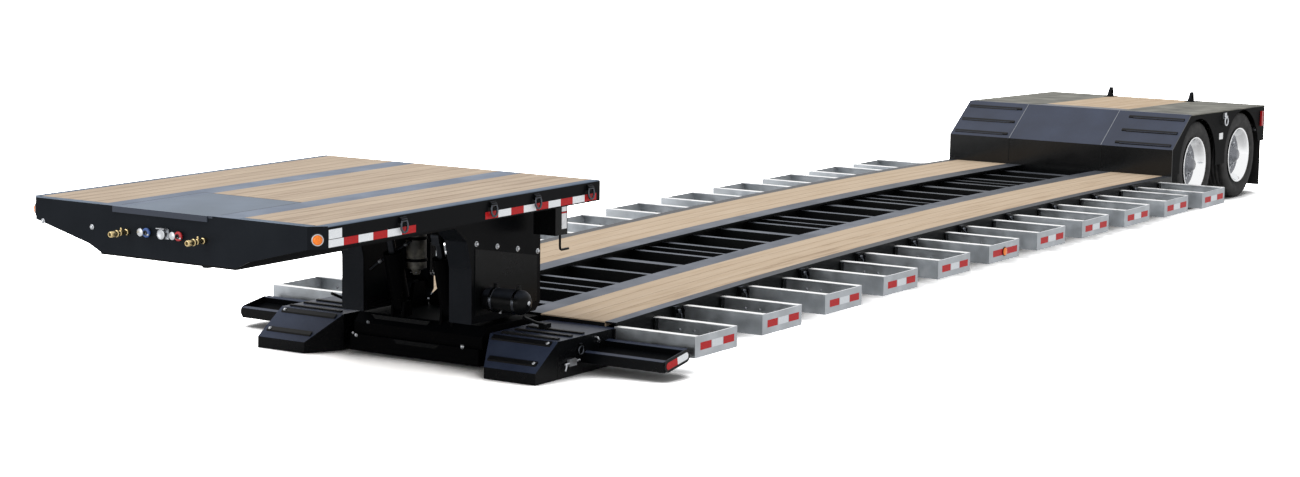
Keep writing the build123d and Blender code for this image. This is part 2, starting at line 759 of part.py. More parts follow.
# ---------------------------------------------------------------- neck
with BuildPart() as neck_frame:
    corner_y = half_width - nose_chamfer
    skirt_z = neck_top - nose_skirt_drop
    strip_z = neck_top - neck_board_thickness
    end_outline([(-corner_y, neck_top), (corner_y, neck_top), (corner_y, neck_rail_underside),
                 (nose_skirt_y, skirt_z), (nose_box_half_width, beam_underside),
                 (-nose_box_half_width, beam_underside), (-nose_skirt_y, skirt_z),
                 (-corner_y, neck_rail_underside)], 0, nose_plate_thickness)
    end_outline([(-corner_y, neck_top), (corner_y, neck_top), (corner_y, strip_z),
                 (-corner_y, strip_z)], 0, neck_front_strip)
    # slanting corner of the nose
    with BuildSketch(Plane.XY.offset(neck_rail_underside)) as corner:
        with BuildLine():
            Polyline((station(0), corner_y), (station(nose_chamfer), half_width),
                     (station(nose_chamfer), neck_rail_inner),
                     (station(neck_front_strip), neck_rail_inner),
                     (station(0), corner_y - nose_plate_thickness), close=True)
        make_face()
    extrude(corner.sketch, amount=neck_rail_depth, dir=(0, 0, 1))
    # side rail with a rolled top edge
    rail_middle = ((half_width + neck_rail_inner) / 2, (neck_top + neck_rail_underside) / 2)
    with BuildSketch(end_plane(nose_chamfer)) as rail:
        with Locations(rail_middle):
            Rectangle(neck_rail_width, neck_rail_depth)
        fillet(rail.vertices().group_by(Axis.Y)[-1].sort_by(Axis.X)[-1], neck_edge_radius)
    extrude(rail.sketch, amount=neck_length - nose_chamfer, dir=(-1, 0, 0))
    # tapered bearers, deep at the swan-neck beam and shallow at the rail
    bearer_step = (neck_length - neck_front_strip - neck_bearer_thickness) / neck_bearer_count
    under = strip_z - seat_clearance
    for index in range(neck_bearer_count):
        end_outline([(beam_outer, under), (neck_rail_inner, under),
                     (neck_rail_inner, neck_rail_underside),
                     (beam_outer, beam_underside + neck_bearer_rise)],
                    neck_front_strip + (index + 1) * bearer_step, neck_bearer_thickness)
    add_right_side()
    for side in (1, -1):
        # the beams pass through the nose's top strip
        strip = sorted((side * beam_inner, side * beam_outer))
        between(nose_plate_thickness, neck_front_strip + 1, strip, (strip_z - 1, neck_top + 1),
                mode=Mode.SUBTRACT)
    # room for the lip plate
    between(-1, neck_front_strip + 1, (-beam_inner, beam_inner),
            (neck_top - lip_plate_thickness, neck_top + 1), mode=Mode.SUBTRACT)
save(neck_frame, "neck_frame")


def swan_neck_points(inset):
    """Outline of the beam that runs back from the nose and turns down into the riser."""
    front = nose_plate_thickness + inset
    low = beam_underside + inset
    bend = riser_front + inset
    return [(front, low), (front, neck_top - inset), (neck_length - inset, neck_top - inset),
            (neck_length - inset, riser_top_rear + riser_shoulder - inset),
            (riser_rear - inset, riser_top_rear - inset),
            (riser_rear - inset, riser_bottom + riser_heel + inset / 2),
            (riser_rear - riser_heel - inset / 2, riser_bottom + inset), (bend, riser_bottom + inset),
            (bend, riser_bend_height), (bend - 0.28 * riser_bend_reach, riser_bend_height + 210),
            (bend - riser_bend_reach, low)]


with BuildPart() as neck_beams:
    side_outline(swan_neck_points(0), beam_outer, beam_inner)
    # open towards the middle, as a deep channel
    side_outline(swan_neck_points(beam_wall), beam_outer - beam_wall, beam_inner - 1, mode=Mode.SUBTRACT)
    across(pivot_from_nose, pivot_height, (beam_inner, beam_outer - 1), pivot_boss_radius)
    across(pivot_from_nose, pivot_height, (beam_inner - 1, beam_outer + 1),
           pivot_radius + pin_clearance, mode=Mode.SUBTRACT)
    add_right_side()
save(neck_beams, "neck_beams")

tie_reach = beam_outer - beam_wall
tie_top = neck_top - neck_board_thickness - seat_clearance
rear_tie = neck_length - neck_tie_width
with BuildPart() as neck_ties:
    # cross ties between the beams, and the round tie that holds the cylinders' heads
    tie_step = (riser_front - riser_bend_reach - nose_plate_thickness) / 3
    for index in (1, 2):
        front = nose_plate_thickness + index * tie_step
        between(front, front + neck_tie_width, (-tie_reach, tie_reach),
                (beam_underside + beam_wall, beam_underside + neck_tie_depth))
    between(rear_tie, rear_tie + neck_tie_width - beam_wall - 6, (-tie_reach, tie_reach),
            (beam_underside, tie_top))
    across(cylinder_head_from_nose, cylinder_head_height + lug_root, (-tie_reach, tie_reach),
           head_tie_radius)
    for y in (cylinder_y, -cylinder_y):
        for plate in (y - lug_gap - lug_thickness, y + lug_gap):
            between(cylinder_head_from_nose - head_lug, cylinder_head_from_nose + head_lug,
                    (plate, plate + lug_thickness),
                    (cylinder_head_height - head_lug, cylinder_head_height + lug_root))
        across(cylinder_head_from_nose, cylinder_head_height, (y - lug_gap - 1, y + lug_gap + 1),
               cylinder_pin_radius)
save(neck_ties, "neck_ties")

with BuildPart() as neck_boards:
    panels = ((beam_outer + seam, neck_rail_inner - seam, neck_front_strip + seam),
              (-neck_rail_inner + seam, -beam_outer - seam, neck_front_strip + seam),
              (-beam_inner + seam, beam_inner - seam, lip_plate_length + seam))
    for low_y, high_y, start in panels:
        pitch = (high_y - low_y + board_gap) / neck_boards_per_panel
        for index in range(neck_boards_per_panel):
            inner_edge = low_y + index * pitch
            between(start, neck_length, (inner_edge, inner_edge + pitch - board_gap),
                    (neck_top - neck_board_thickness, neck_top))
save(neck_boards, "neck_boards")

with BuildPart() as nose_lip_plate:
    # steel plate between the beams, with the lip that hangs over the nose
    plate_bottom = neck_top - lip_plate_thickness + seat_clearance
    between(-1, lip_plate_length, (-beam_inner + seam, beam_inner - seam), (plate_bottom, neck_top))
    between(-lip_thickness, -seat_clearance, lip_span, (neck_top - lip_drop, neck_top))
save(nose_lip_plate, "nose_lip_plate")

with BuildPart() as kingpin_plate:
    foot = beam_underside - kingpin_plate_thickness
    between(0, kingpin_plate_length, (-nose_box_half_width, nose_box_half_width), (foot, beam_underside))
    x = station(kingpin_setback)
    shoulder_end = foot - kingpin_shoulder
    neck_end = shoulder_end - kingpin_neck
    round_bar((x, 0, foot), (x, 0, shoulder_end), kingpin_shoulder_radius)
    round_bar((x, 0, shoulder_end), (x, 0, neck_end), kingpin_neck_radius)
    round_bar((x, 0, neck_end), (x, 0, neck_end - kingpin_flange), kingpin_flange_radius)
save(kingpin_plate, "kingpin_plate")

# ---------------------------------------------------------------- neck base and lift
with BuildPart() as neck_base:
    side_outline([(base_front - base_step, base_underside), (base_front - base_step, base_step_height),
                  (base_front, base_step_height), (base_front, base_ledge - base_toe),
                  (base_front + base_toe, base_ledge), (base_rear, base_ledge),
                  (base_rear, base_underside)], base_half_width, -base_half_width)
    for side in (1, -1):
        cheek_outer = beam_inner - cheek_clearance
        cheek = sorted((side * (cheek_outer - cheek_thickness), side * cheek_outer))
        side_outline([(pivot_from_nose - 110, base_ledge - 1), (pivot_from_nose - 60, pivot_height + 60),
                      (pivot_from_nose + 60, pivot_height + 60), (pivot_from_nose + 110, base_ledge - 1)],
                     cheek[1], cheek[0])
        # trunnion that carries the riser
        trunnion = sorted((side * (cheek_outer - cheek_thickness), side * (beam_outer + 8)))
        across(pivot_from_nose, pivot_height, trunnion, pivot_radius)
    slot_half = hook_shaft_radius + seat_clearance
    for y in jaw_positions:
        # jaw that opens rearward round the deck's cross shaft
        side_outline([(base_rear - 1, base_underside + 40), (base_rear - 1, base_ledge - 20),
                      (hook_shaft_from_nose + 80, base_ledge - 40),
                      (hook_shaft_from_nose + 80, hook_shaft_height + slot_half),
                      (hook_shaft_from_nose - slot_half, hook_shaft_height + slot_half),
                      (hook_shaft_from_nose - slot_half, hook_shaft_height - slot_half),
                      (hook_shaft_from_nose + 60, hook_shaft_height - slot_half),
                      (hook_shaft_from_nose + 40, base_underside + 50)],
                     y + jaw_thickness / 2, y - jaw_thickness / 2)
    for y in (cylinder_y, -cylinder_y):
        for plate in (y - lug_gap - lug_thickness, y + lug_gap):
            side_outline([(cylinder_foot_from_nose - 60, base_ledge - base_toe),
                          (cylinder_foot_from_nose - 40, cylinder_foot_height + 40),
                          (cylinder_foot_from_nose + 40, cylinder_foot_height + 40),
                          (cylinder_foot_from_nose + 60, base_ledge - base_toe)],
                         plate + lug_thickness, plate)
        across(cylinder_foot_from_nose, cylinder_foot_height, (y - lug_gap - 1, y + lug_gap + 1),
               cylinder_pin_radius)
save(neck_base, "neck_base")

foot_point = Vector(station(cylinder_foot_from_nose), 0, cylinder_foot_height)
head_point = Vector(station(cylinder_head_from_nose), 0, cylinder_head_height)
stroke = (head_point - foot_point).normalized()


def along_cylinder(y, distance):
    """Point on a lift cylinder's axis at this distance from its foot pin."""
    return tuple(foot_point + Vector(0, y, 0) + stroke * distance)


def cylinder_eye(y, start, end):
    """A flat lug with a round end, from a pin's centre to the cylinder's body."""
    outward = 1 if end > start else -1
    with BuildSketch(Plane(origin=along_cylinder(y - cylinder_eye_half, start),
                           x_dir=stroke * outward, z_dir=(0, 1, 0))) as eye:
        Circle(cylinder_eye_radius)
        Rectangle(abs(end - start), 2 * cylinder_eye_radius, align=(Align.MIN, Align.CENTER))
    extrude(eye.sketch, amount=2 * cylinder_eye_half, dir=(0, 1, 0))


with BuildPart() as lift_barrels:
    for y in (cylinder_y, -cylinder_y):
        round_bar(along_cylinder(y, 70), along_cylinder(y, barrel_length), barrel_radius)
        cylinder_eye(y, 0, 71)
        across(cylinder_foot_from_nose, cylinder_foot_height, (y - lug_gap, y + lug_gap),
               cylinder_pin_radius + pin_clearance, mode=Mode.SUBTRACT)
        round_bar(along_cylinder(y, 100), along_cylinder(y, barrel_length + 1),
                  rod_radius + rod_clearance, mode=Mode.SUBTRACT)
save(lift_barrels, "lift_barrels")

with BuildPart() as lift_rods:
    for y in (cylinder_y, -cylinder_y):
        head_distance = (head_point - foot_point).length
        round_bar(along_cylinder(y, 160), along_cylinder(y, head_distance - 60), rod_radius)
        cylinder_eye(y, head_distance, head_distance - 61)
        across(cylinder_head_from_nose, cylinder_head_height, (y - lug_gap, y + lug_gap),
               cylinder_pin_radius + head_eye_clearance, mode=Mode.SUBTRACT)
save(lift_rods, "lift_rods")

# ---------------------------------------------------------------- fittings on the neck
with BuildPart() as control_box:
    box_top = neck_rail_underside + control_box_rise
    between(neck_length + seam, neck_length + control_box_length, (control_box_inner, control_box_outer),
            (box_top - control_box_height, box_top))
save(control_box, "control_box")

with BuildPart() as oil_tank:
    # upright tank in front of the rear tie, with the arm that carries it
    x = station(oil_tank_from_nose)
    round_bar((x, oil_tank_y, oil_tank_foot), (x, oil_tank_y, oil_tank_foot + oil_tank_height),
              oil_tank_radius)
    between(oil_tank_from_nose, rear_tie - seat_clearance, (oil_tank_y - tank_arm, oil_tank_y + tank_arm),
            (oil_tank_foot + oil_tank_height - 1, beam_underside + tank_arm))
save(oil_tank, "oil_tank")

with BuildPart() as air_tank:
    # round tank that lies across, against the left riser's outer face
    across(air_tank_from_nose, air_tank_height, (beam_outer + seat_clearance, beam_outer + air_tank_length),
           air_tank_radius)
save(air_tank, "air_tank")

with BuildPart() as nose_couplings:
    # electric socket, two air couplings and two hydraulic ends in a row on the nose
    for y, radius, reach, sides in ((-390, 22, coupling_reach, 6), (-255, 34, 30, 8),
                                    (-140, 38, 45, 4), (-30, 34, 30, 8), (130, 22, coupling_reach, 6)):
        with BuildSketch(end_plane(0)) as coupling:
            with Locations((y, coupling_height)):
                RegularPolygon(radius, sides, rotation=45)
        extrude(coupling.sketch, amount=reach, dir=(1, 0, 0))
save(nose_couplings, "nose_couplings")
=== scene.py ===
"""Visual model of a detachable gooseneck lowboy trailer, in metres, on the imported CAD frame.

Each sub-assembly is a class that takes its place from the frame, builds its meshes and
dresses the frame's own pieces. +X runs to the nose, +Y to the trailer's left, +Z up.
"""

from __future__ import annotations

import json
import logging
import math
from dataclasses import dataclass, field
from enum import Enum, IntEnum
from typing import Callable, Iterable, Sequence

import bmesh
import bpy
from mathutils import Matrix, Vector


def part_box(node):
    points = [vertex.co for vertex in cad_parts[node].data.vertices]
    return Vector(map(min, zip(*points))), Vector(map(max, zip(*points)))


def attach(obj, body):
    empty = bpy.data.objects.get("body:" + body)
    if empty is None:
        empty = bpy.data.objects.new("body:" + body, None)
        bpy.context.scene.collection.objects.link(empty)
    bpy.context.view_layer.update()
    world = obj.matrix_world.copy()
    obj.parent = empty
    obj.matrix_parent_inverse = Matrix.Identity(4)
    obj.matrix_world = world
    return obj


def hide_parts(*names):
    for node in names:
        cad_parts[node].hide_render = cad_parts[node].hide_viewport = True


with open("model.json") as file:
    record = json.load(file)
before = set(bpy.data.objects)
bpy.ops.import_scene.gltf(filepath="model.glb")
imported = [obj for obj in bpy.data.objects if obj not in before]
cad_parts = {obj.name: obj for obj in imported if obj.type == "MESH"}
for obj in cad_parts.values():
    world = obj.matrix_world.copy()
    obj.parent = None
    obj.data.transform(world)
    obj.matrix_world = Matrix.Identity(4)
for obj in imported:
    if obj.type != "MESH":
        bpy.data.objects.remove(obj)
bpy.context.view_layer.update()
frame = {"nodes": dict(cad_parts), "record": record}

log = logging.getLogger("trailer")
MM = 0.001

Point = tuple[float, float, float]
Span = tuple[float, float]
Places = tuple[float, ...]
Outline = Sequence[tuple[float, float]]
Stops = Sequence[tuple[float, str]]
Spot = Sequence[float]
Tree = bpy.types.NodeTree
Node = bpy.types.Node
Socket = bpy.types.NodeSocket


class Body(Enum):
    """Bodies that the scene's own pieces ride on, named as in the frame."""

    DECK = "deck"
    NECK = "neck"
    NECK_BASE = "neck_base"


class Side(IntEnum):
    """Sides of the trailer, as the sign of Y."""

    LEFT = 1
    RIGHT = -1


# ------ finishes
def linear(hex_colour: str) -> tuple[float, float, float, float]:
    """Turn an sRGB hex colour into linear RGBA.

    Args:
        hex_colour: colour as "#RRGGBB".

    Returns:
        Linear red, green, blue and an alpha of one.
    """
    parts = [int(hex_colour[i : i + 2], 16) / 255 for i in (1, 3, 5)]
    red, green, blue = (p / 12.92 if p <= 0.04045 else ((p + 0.055) / 1.055) ** 2.4 for p in parts)
    return red, green, blue, 1.0


def add_node(tree: Tree, kind: str, inputs: dict | None = None,
             settings: dict | None = None, stops: Stops = ()) -> Node:
    """Add one node with its settings, values and links.

    Args:
        tree: node tree of the material.
        kind: Blender's name of the shader node's type, without its prefix.
        inputs: socket names or numbers, each with a value or an output socket to link.
        settings: attributes of the node, such as its operation.
        stops: positions and hex colours, for a node that holds a ramp of colours.

    Returns:
        The new node.
    """
    node = tree.nodes.new(f"ShaderNode{kind}")
    for name, value in (settings or {}).items():
        setattr(node, name, value)
    for name, value in (inputs or {}).items():
        if isinstance(value, Socket):
            tree.links.new(value, node.inputs[name])
        else:
            node.inputs[name].default_value = value
    if stops:
        elements = node.color_ramp.elements
        while len(elements) < len(stops):
            elements.new(0.5)
        for element, (position, hex_colour) in zip(elements, stops):
            element.position = position
            element.color = linear(hex_colour)
    return node


@dataclass(frozen=True)
class Coat:
    """A material while its finish is laid on: its node tree and its Principled shader."""

    tree: Tree
    shader: Node

    def place(self) -> Socket:
        """Return the socket of the surface's own place, in metres."""
        return add_node(self.tree, "TexCoord").outputs["Object"]

    def along(self, axis: str) -> Socket:
        """Return the socket of one coordinate of the surface's own place."""
        return add_node(self.tree, "SeparateXYZ", {0: self.place()}).outputs[axis]

    def facing(self) -> bpy.types.NodeOutputs:
        """Return the X, Y and Z sockets of the way that the surface looks."""
        normal = add_node(self.tree, "TexCoord").outputs["Normal"]
        return add_node(self.tree, "SeparateXYZ", {0: normal}).outputs

    def show(self, socket: str, value: Socket) -> None:
        """Let a value drive one of the shader's sockets."""
        self.tree.links.new(value, self.shader.inputs[socket])

    def lumps(self, size_mm: float, detail: float = 4.0,
              stretch: Point = (1.0, 1.0, 1.0)) -> Socket:
        """Scatter soft lumps of a real size over the surface.

        Args:
            size_mm: size of one lump.
            detail: octaves of finer lumps in it.
            stretch: how many times longer the lumps are along each axis.

        Returns:
            The socket of the lumps' value, from 0 to 1.
        """
        scale = tuple(1000.0 / size_mm / s for s in stretch)
        mapping = add_node(self.tree, "Mapping",
                           {"Vector": self.place(), "Scale": scale})
        lumps = add_node(self.tree, "TexNoise", {
            "Vector": mapping.outputs["Vector"], "Scale": 1.0, "Detail": detail})
        return lumps.outputs["Fac"]

    def weighted(self, parts: Sequence[tuple[Socket, float]], start: float) -> Socket:
        """Add each value times its weight to a start value.

        Args:
            parts: sockets, each with its weight.
            start: number that the sum starts from.

        Returns:
            The sum's socket.
        """
        total: Socket | float = start
        for value, weight in parts:
            total = add_node(self.tree, "Math", {0: value, 1: weight, 2: total},
                             {"operation": "MULTIPLY_ADD"}).outputs[0]
        return total

    def emboss(self, height: Socket, depth_mm: float, strength: float) -> None:
        """Raise the surface by a height value.

        Args:
            height: value from 0 to 1.
            depth_mm: depth of the full range.
            strength: share of the relief that shows.
        """
        bump = add_node(self.tree, "Bump", {
            "Height": height, "Distance": depth_mm * MM, "Strength": strength})
        self.show("Normal", bump.outputs["Normal"])


@dataclass(frozen=True)
class Finish:
    """A finish with its typical optical values. Subclasses add what the surface shows."""

    name: str
    colour: str
    roughness: float = 0.5
    metallic: float = 0.0
    ior: float = 1.5
    specular: float = 0.5

    def material(self) -> bpy.types.Material:
        """Make the Blender material of this finish, once.

        Returns:
            The material.
        """
        made = bpy.data.materials.get(self.name)
        if made is None:
            made = bpy.data.materials.new(self.name)
            made.use_nodes = True
            shader = made.node_tree.nodes["Principled BSDF"]
            shader.inputs["Base Color"].default_value = linear(self.colour)
            shader.inputs["Roughness"].default_value = self.roughness
            shader.inputs["Metallic"].default_value = self.metallic
            if self.metallic == 0.0:
                shader.inputs["IOR"].default_value = self.ior
                shader.inputs["Specular IOR Level"].default_value = self.specular
            made.diffuse_color = linear(self.colour)
            self.surface(Coat(made.node_tree, shader))
        return made

    def surface(self, on: Coat) -> None:
        """Add what the plain values don't show.

        Args:
            on: the material's nodes.
        """
        raise NotImplementedError


@dataclass(frozen=True)
class SprayedEnamel(Finish):
    """Gloss enamel sprayed on steel. Upright faces stay deep black, and faces that look up
    carry a blue-grey film from a given height up: partly fine dust, partly a painted sheen of
    the sky in the gloss, paler in random patches. The film can be full near the ramps and
    thinner along the rest, and faces that look ahead can carry a share of it as painted highlight."""

    film: str = "#22252B"
    film_pale: str = "#2E323A"
    film_roughness: float = 0.5
    film_above: float = 0.0
    sheen_ahead: float = 0.0
    film_behind: float = 1.0
    fade_from: float = 4.1
    fade_to: float = 2.1
    tilt_up: Span = (0.35, 0.7)
    tilt_ahead: Span = (0.5, 0.8)
    patch_mm: float = 380.0
    wave_mm: float = 60.0

    def surface(self, on: Coat) -> None:
        """Add the film on what looks up, dust with a painted sheen, and the spray's soft waves.

        Args:
            on: the material's nodes.
        """
        facing = on.facing()
        upward = add_node(on.tree, "MapRange", {
            "Value": facing["Z"], "From Min": self.tilt_up[0], "From Max": self.tilt_up[1]})
        open_air = add_node(on.tree, "Math", {0: on.along("Z"), 1: self.film_above},
                            {"operation": "GREATER_THAN"})
        exposed = add_node(on.tree, "Math", {0: upward.outputs["Result"], 1: open_air.outputs[0]},
                           {"operation": "MULTIPLY"})
        # the film, dust with a painted sheen, stays full at fade_from and falls to film_behind of
        # it at fade_to
        top_lightening = add_node(on.tree, "MapRange", {
            "Value": on.along("X"), "From Min": self.fade_to, "From Max": self.fade_from,
            "To Min": self.film_behind, "To Max": 1.0})
        faded = add_node(on.tree, "Math", {0: exposed.outputs[0], 1: top_lightening.outputs["Result"]},
                         {"operation": "MULTIPLY"})
        # painted highlight: faces that look ahead take a share of the film
        ahead = add_node(on.tree, "MapRange", {
            "Value": facing["X"], "From Min": self.tilt_ahead[0],
            "From Max": self.tilt_ahead[1], "To Max": self.sheen_ahead})
        share = add_node(on.tree, "Math", {0: faded.outputs[0], 1: ahead.outputs["Result"]},
                         {"operation": "MAXIMUM"}).outputs[0]
        patches = on.lumps(self.patch_mm, detail=6.0)
        film = add_node(on.tree, "ValToRGB", {"Fac": patches},
                        stops=[(0.35, self.film), (0.7, self.film_pale)])
        mixed = add_node(on.tree, "Mix", {
            "Factor": share, "A": linear(self.colour), "B": film.outputs["Color"]},
                         {"data_type": "RGBA"})
        on.show("Base Color", mixed.outputs["Result"])
        on.show("Roughness", on.weighted([(share, self.film_roughness - self.roughness),
                                          (patches, 0.12)], self.roughness - 0.06))
        on.emboss(on.lumps(self.wave_mm, detail=2.0), depth_mm=0.25, strength=0.3)


@dataclass(frozen=True)
class SawnOak(Finish):
    """Rough-sawn oak planks: straight grain along the trailer, long dark streaks, and each
    plank of its own shade. The pattern is set to one panel's plank pitch and inner edge."""

    plank_mm: float = 147.5
    first_edge_mm: float = 0.0
    dark: str = "#8C7560"
    pale: str = "#CBB9A3"
    # oak's pores are under a millimetre wide: drawn 9 mm wide so that the grain shows
    grain_mm: float = 9.0
    streak_mm: float = 62.0

    def surface(self, on: Coat) -> None:
        """Add the shade of each plank, long grain, darker streaks and saw marks.

        Args:
            on: the material's nodes.
        """
        across = on.along("Y")
        out = add_node(on.tree, "Math", {0: across}, {"operation": "ABSOLUTE"})
        planks = on.weighted([(out.outputs[0], 1000.0 / self.plank_mm)],
                             -self.first_edge_mm / self.plank_mm)
        plank = add_node(on.tree, "Math", {0: planks}, {"operation": "FLOOR"})
        side = add_node(on.tree, "Math", {0: across}, {"operation": "SIGN"})
        number = on.weighted([(plank.outputs[0], 1.0), (side.outputs[0], 9.0)], 0)
        shade = add_node(on.tree, "TexWhiteNoise", {"W": number}, {"noise_dimensions": "1D"})
        grain = on.lumps(self.grain_mm, detail=6.0, stretch=(45.0, 1.0, 1.0))
        streaks = on.lumps(self.streak_mm, detail=5.0, stretch=(13.0, 1.0, 1.0))
        figure = on.weighted([(grain, 0.2), (streaks, 0.46), (shade.outputs["Value"], 0.08)],
                             0.105)
        tint = add_node(on.tree, "ValToRGB", {"Fac": figure},
                        stops=[(0.28, self.dark), (0.42, self.colour), (0.7, self.pale)])
        on.show("Base Color", tint.outputs["Color"])
        on.emboss(grain, depth_mm=1.2, strength=0.5)


@dataclass(frozen=True)
class MilledAluminium(Finish):
    """Extruded aluminium as it left the die: drawn lines along it, duller oxide in patches,
    top faces painted pale as a painted highlight, and end plates sawn rough so that they look
    matt."""

    # pale colour painted on the top faces as a painted highlight
    top_lightening: str = "#F4F6F8"
    oxide: str = "#A3A7AB"
    bright: str = "#C2C5C9"
    drawn: Point = (1.0, 14.0, 1.0)
    sawn_metal: float = 0.4
    tilt: Span = (0.5, 0.8)
    patch_mm: float = 150.0
    line_mm: float = 14.0

    def surface(self, on: Coat) -> None:
        """Add drawn lines, patches of duller oxide and the painted highlight on the tops.

        Args:
            on: the material's nodes.
        """
        facing = on.facing()
        tilt = {"From Min": self.tilt[0], "From Max": self.tilt[1]}
        upward = add_node(on.tree, "MapRange", {"Value": facing["Z"], **tilt})
        patches = on.lumps(self.patch_mm, detail=5.0)
        tint = add_node(on.tree, "ValToRGB", {"Fac": patches},
                        stops=[(0.3, self.oxide), (0.55, self.colour), (0.8, self.bright)])
        # painted highlight: faces that look up take the pale top colour
        mixed = add_node(on.tree, "Mix", {
            "Factor": upward.outputs["Result"], "A": tint.outputs["Color"],
            "B": linear(self.top_lightening)}, {"data_type": "RGBA"})
        on.show("Base Color", mixed.outputs["Result"])
        across = add_node(on.tree, "Math", {0: facing["Y"]}, {"operation": "ABSOLUTE"})
        ends = add_node(on.tree, "MapRange",
                        {"Value": across.outputs[0], **tilt}).outputs["Result"]
        on.show("Roughness", on.weighted([(patches, self.roughness * 0.8), (ends, 0.25)],
                                         self.roughness * 0.6))
        on.show("Metallic", on.weighted([(ends, self.sawn_metal - 1.0)], 1.0))
        lines = on.lumps(self.line_mm, detail=3.0, stretch=self.drawn)
        on.emboss(lines, depth_mm=0.2, strength=0.25)


@dataclass(frozen=True)
class PolishedAluminium(Finish):
    """Forged aluminium wheel, turned and polished: mirror bright with a faint haze."""

    haze_mm: float = 40.0

    def surface(self, on: Coat) -> None:
        """Add a faint haze so that the mirror isn't perfect.

        Args:
            on: the material's nodes.
        """
        haze = on.lumps(self.haze_mm)
        on.show("Roughness", on.weighted([(haze, self.roughness * 1.1)], self.roughness * 0.6))


@dataclass(frozen=True)
class MouldedRubber(Finish):
    """Rubber as moulded: charcoal, matt, with grey dust that lifts the shade in patches."""

    dust: str = "#3A3938"
    dust_mm: float = 90.0
    grain_mm: float = 5.0

    def surface(self, on: Coat) -> None:
        """Add dust and a fine moulded grain.

        Args:
            on: the material's nodes.
        """
        dust = on.lumps(self.dust_mm, detail=5.0)
        tint = add_node(on.tree, "ValToRGB", {"Fac": dust},
                        stops=[(0.38, self.colour), (0.85, self.dust)])
        on.show("Base Color", tint.outputs["Color"])
        on.emboss(on.lumps(self.grain_mm, detail=3.0), depth_mm=0.4, strength=0.5)


@dataclass(frozen=True)
class WornTreadPlate(Finish):
    """Painted steel plate with raised lugs, under a film of road dust, worn to grey in
    patches."""

    bare: str = "#8A897F"
    rim: str = "#4E4E49"
    patch_mm: float = 260.0
    lug_mm: float = 30.0

    def surface(self, on: Coat) -> None:
        """Add the worn patches and the plate's own pattern of raised grip.

        Args:
            on: the material's nodes.
        """
        tint = add_node(on.tree, "ValToRGB", {"Fac": on.lumps(self.patch_mm, detail=7.0)},
                        stops=[(0.3, self.rim), (0.5, self.colour), (0.75, self.bare)])
        on.show("Base Color", tint.outputs["Color"])
        lugs = add_node(on.tree, "TexVoronoi",
                        {"Vector": on.place(), "Scale": 1000.0 / self.lug_mm})
        on.emboss(lugs.outputs["Distance"], depth_mm=1.2, strength=0.35)


@dataclass(frozen=True)
class PrismaticTape(Finish):
    """Reflective marking tape: clear film over a net of small cells, cut with its edge sealed."""

    net: str = "#FFFFFF"
    # three times the real size, so that the net shows
    cell_mm: float = 9.0
    film: float = 0.15
    film_roughness: float = 0.2

    def surface(self, on: Coat) -> None:
        """Add the net of cells under the clear film.

        Args:
            on: the material's nodes.
        """
        cells = add_node(on.tree, "TexVoronoi",
                         {"Vector": on.place(), "Scale": 1000.0 / self.cell_mm},
                         {"feature": "DISTANCE_TO_EDGE"})
        tint = add_node(on.tree, "ValToRGB", {"Fac": cells.outputs["Distance"]},
                        stops=[(0.02, self.net), (0.1, self.colour)])
        on.show("Base Color", tint.outputs["Color"])
        on.shader.inputs["Coat Weight"].default_value = self.film
        on.shader.inputs["Coat Roughness"].default_value = self.film_roughness


@dataclass(frozen=True)
class MouldedLens(Finish):
    """Moulded acrylic lamp lens: saturated, glossy, with cells pressed into its back."""

    cell_mm: float = 7.0
    gloss: float = 0.3
    gloss_roughness: float = 0.08

    def surface(self, on: Coat) -> None:
        """Add the lens's pressed cells, and a lighter shade in each.

        Args:
            on: the material's nodes.
        """
        cells = add_node(on.tree, "TexVoronoi",
                         {"Vector": on.place(), "Scale": 1000.0 / self.cell_mm})
        bright = add_node(on.tree, "HueSaturation", {
            "Value": on.weighted([(cells.outputs["Distance"], -0.5)], 1.2),
            "Color": linear(self.colour)})
        on.show("Base Color", bright.outputs["Color"])
        on.shader.inputs["Coat Weight"].default_value = self.gloss
        on.shader.inputs["Coat Roughness"].default_value = self.gloss_roughness
        on.emboss(cells.outputs["Distance"], depth_mm=0.6, strength=0.5)


@dataclass(frozen=True)
class MachinedMetal(Finish):
    """Turned or plated metal fitting: tool marks that break its highlights."""

    mark_mm: float = 6.0

    def surface(self, on: Coat) -> None:
        """Add uneven roughness and tool marks.

        Args:
            on: the material's nodes.
        """
        marks = on.lumps(self.mark_mm)
        on.show("Roughness", on.weighted([(marks, self.roughness * 0.7)], self.roughness * 0.7))
        on.emboss(marks, depth_mm=0.2, strength=0.4)


@dataclass(frozen=True)
class PrintedPlate(Finish):
    """Blank white plate, screen-printed paint on sheet: satin, very slightly uneven."""

    pale: str = "#F0F1F2"
    lump_mm: float = 25.0

    def surface(self, on: Coat) -> None:
        """Add a faint unevenness in shade and gloss.

        Args:
            on: the material's nodes.
        """
        uneven = on.lumps(self.lump_mm, detail=3.0)
        tint = add_node(on.tree, "ValToRGB", {"Fac": uneven},
                        stops=[(0.3, self.colour), (0.8, self.pale)])
        on.show("Base Color", tint.outputs["Color"])
        on.emboss(uneven, depth_mm=0.1, strength=0.2)


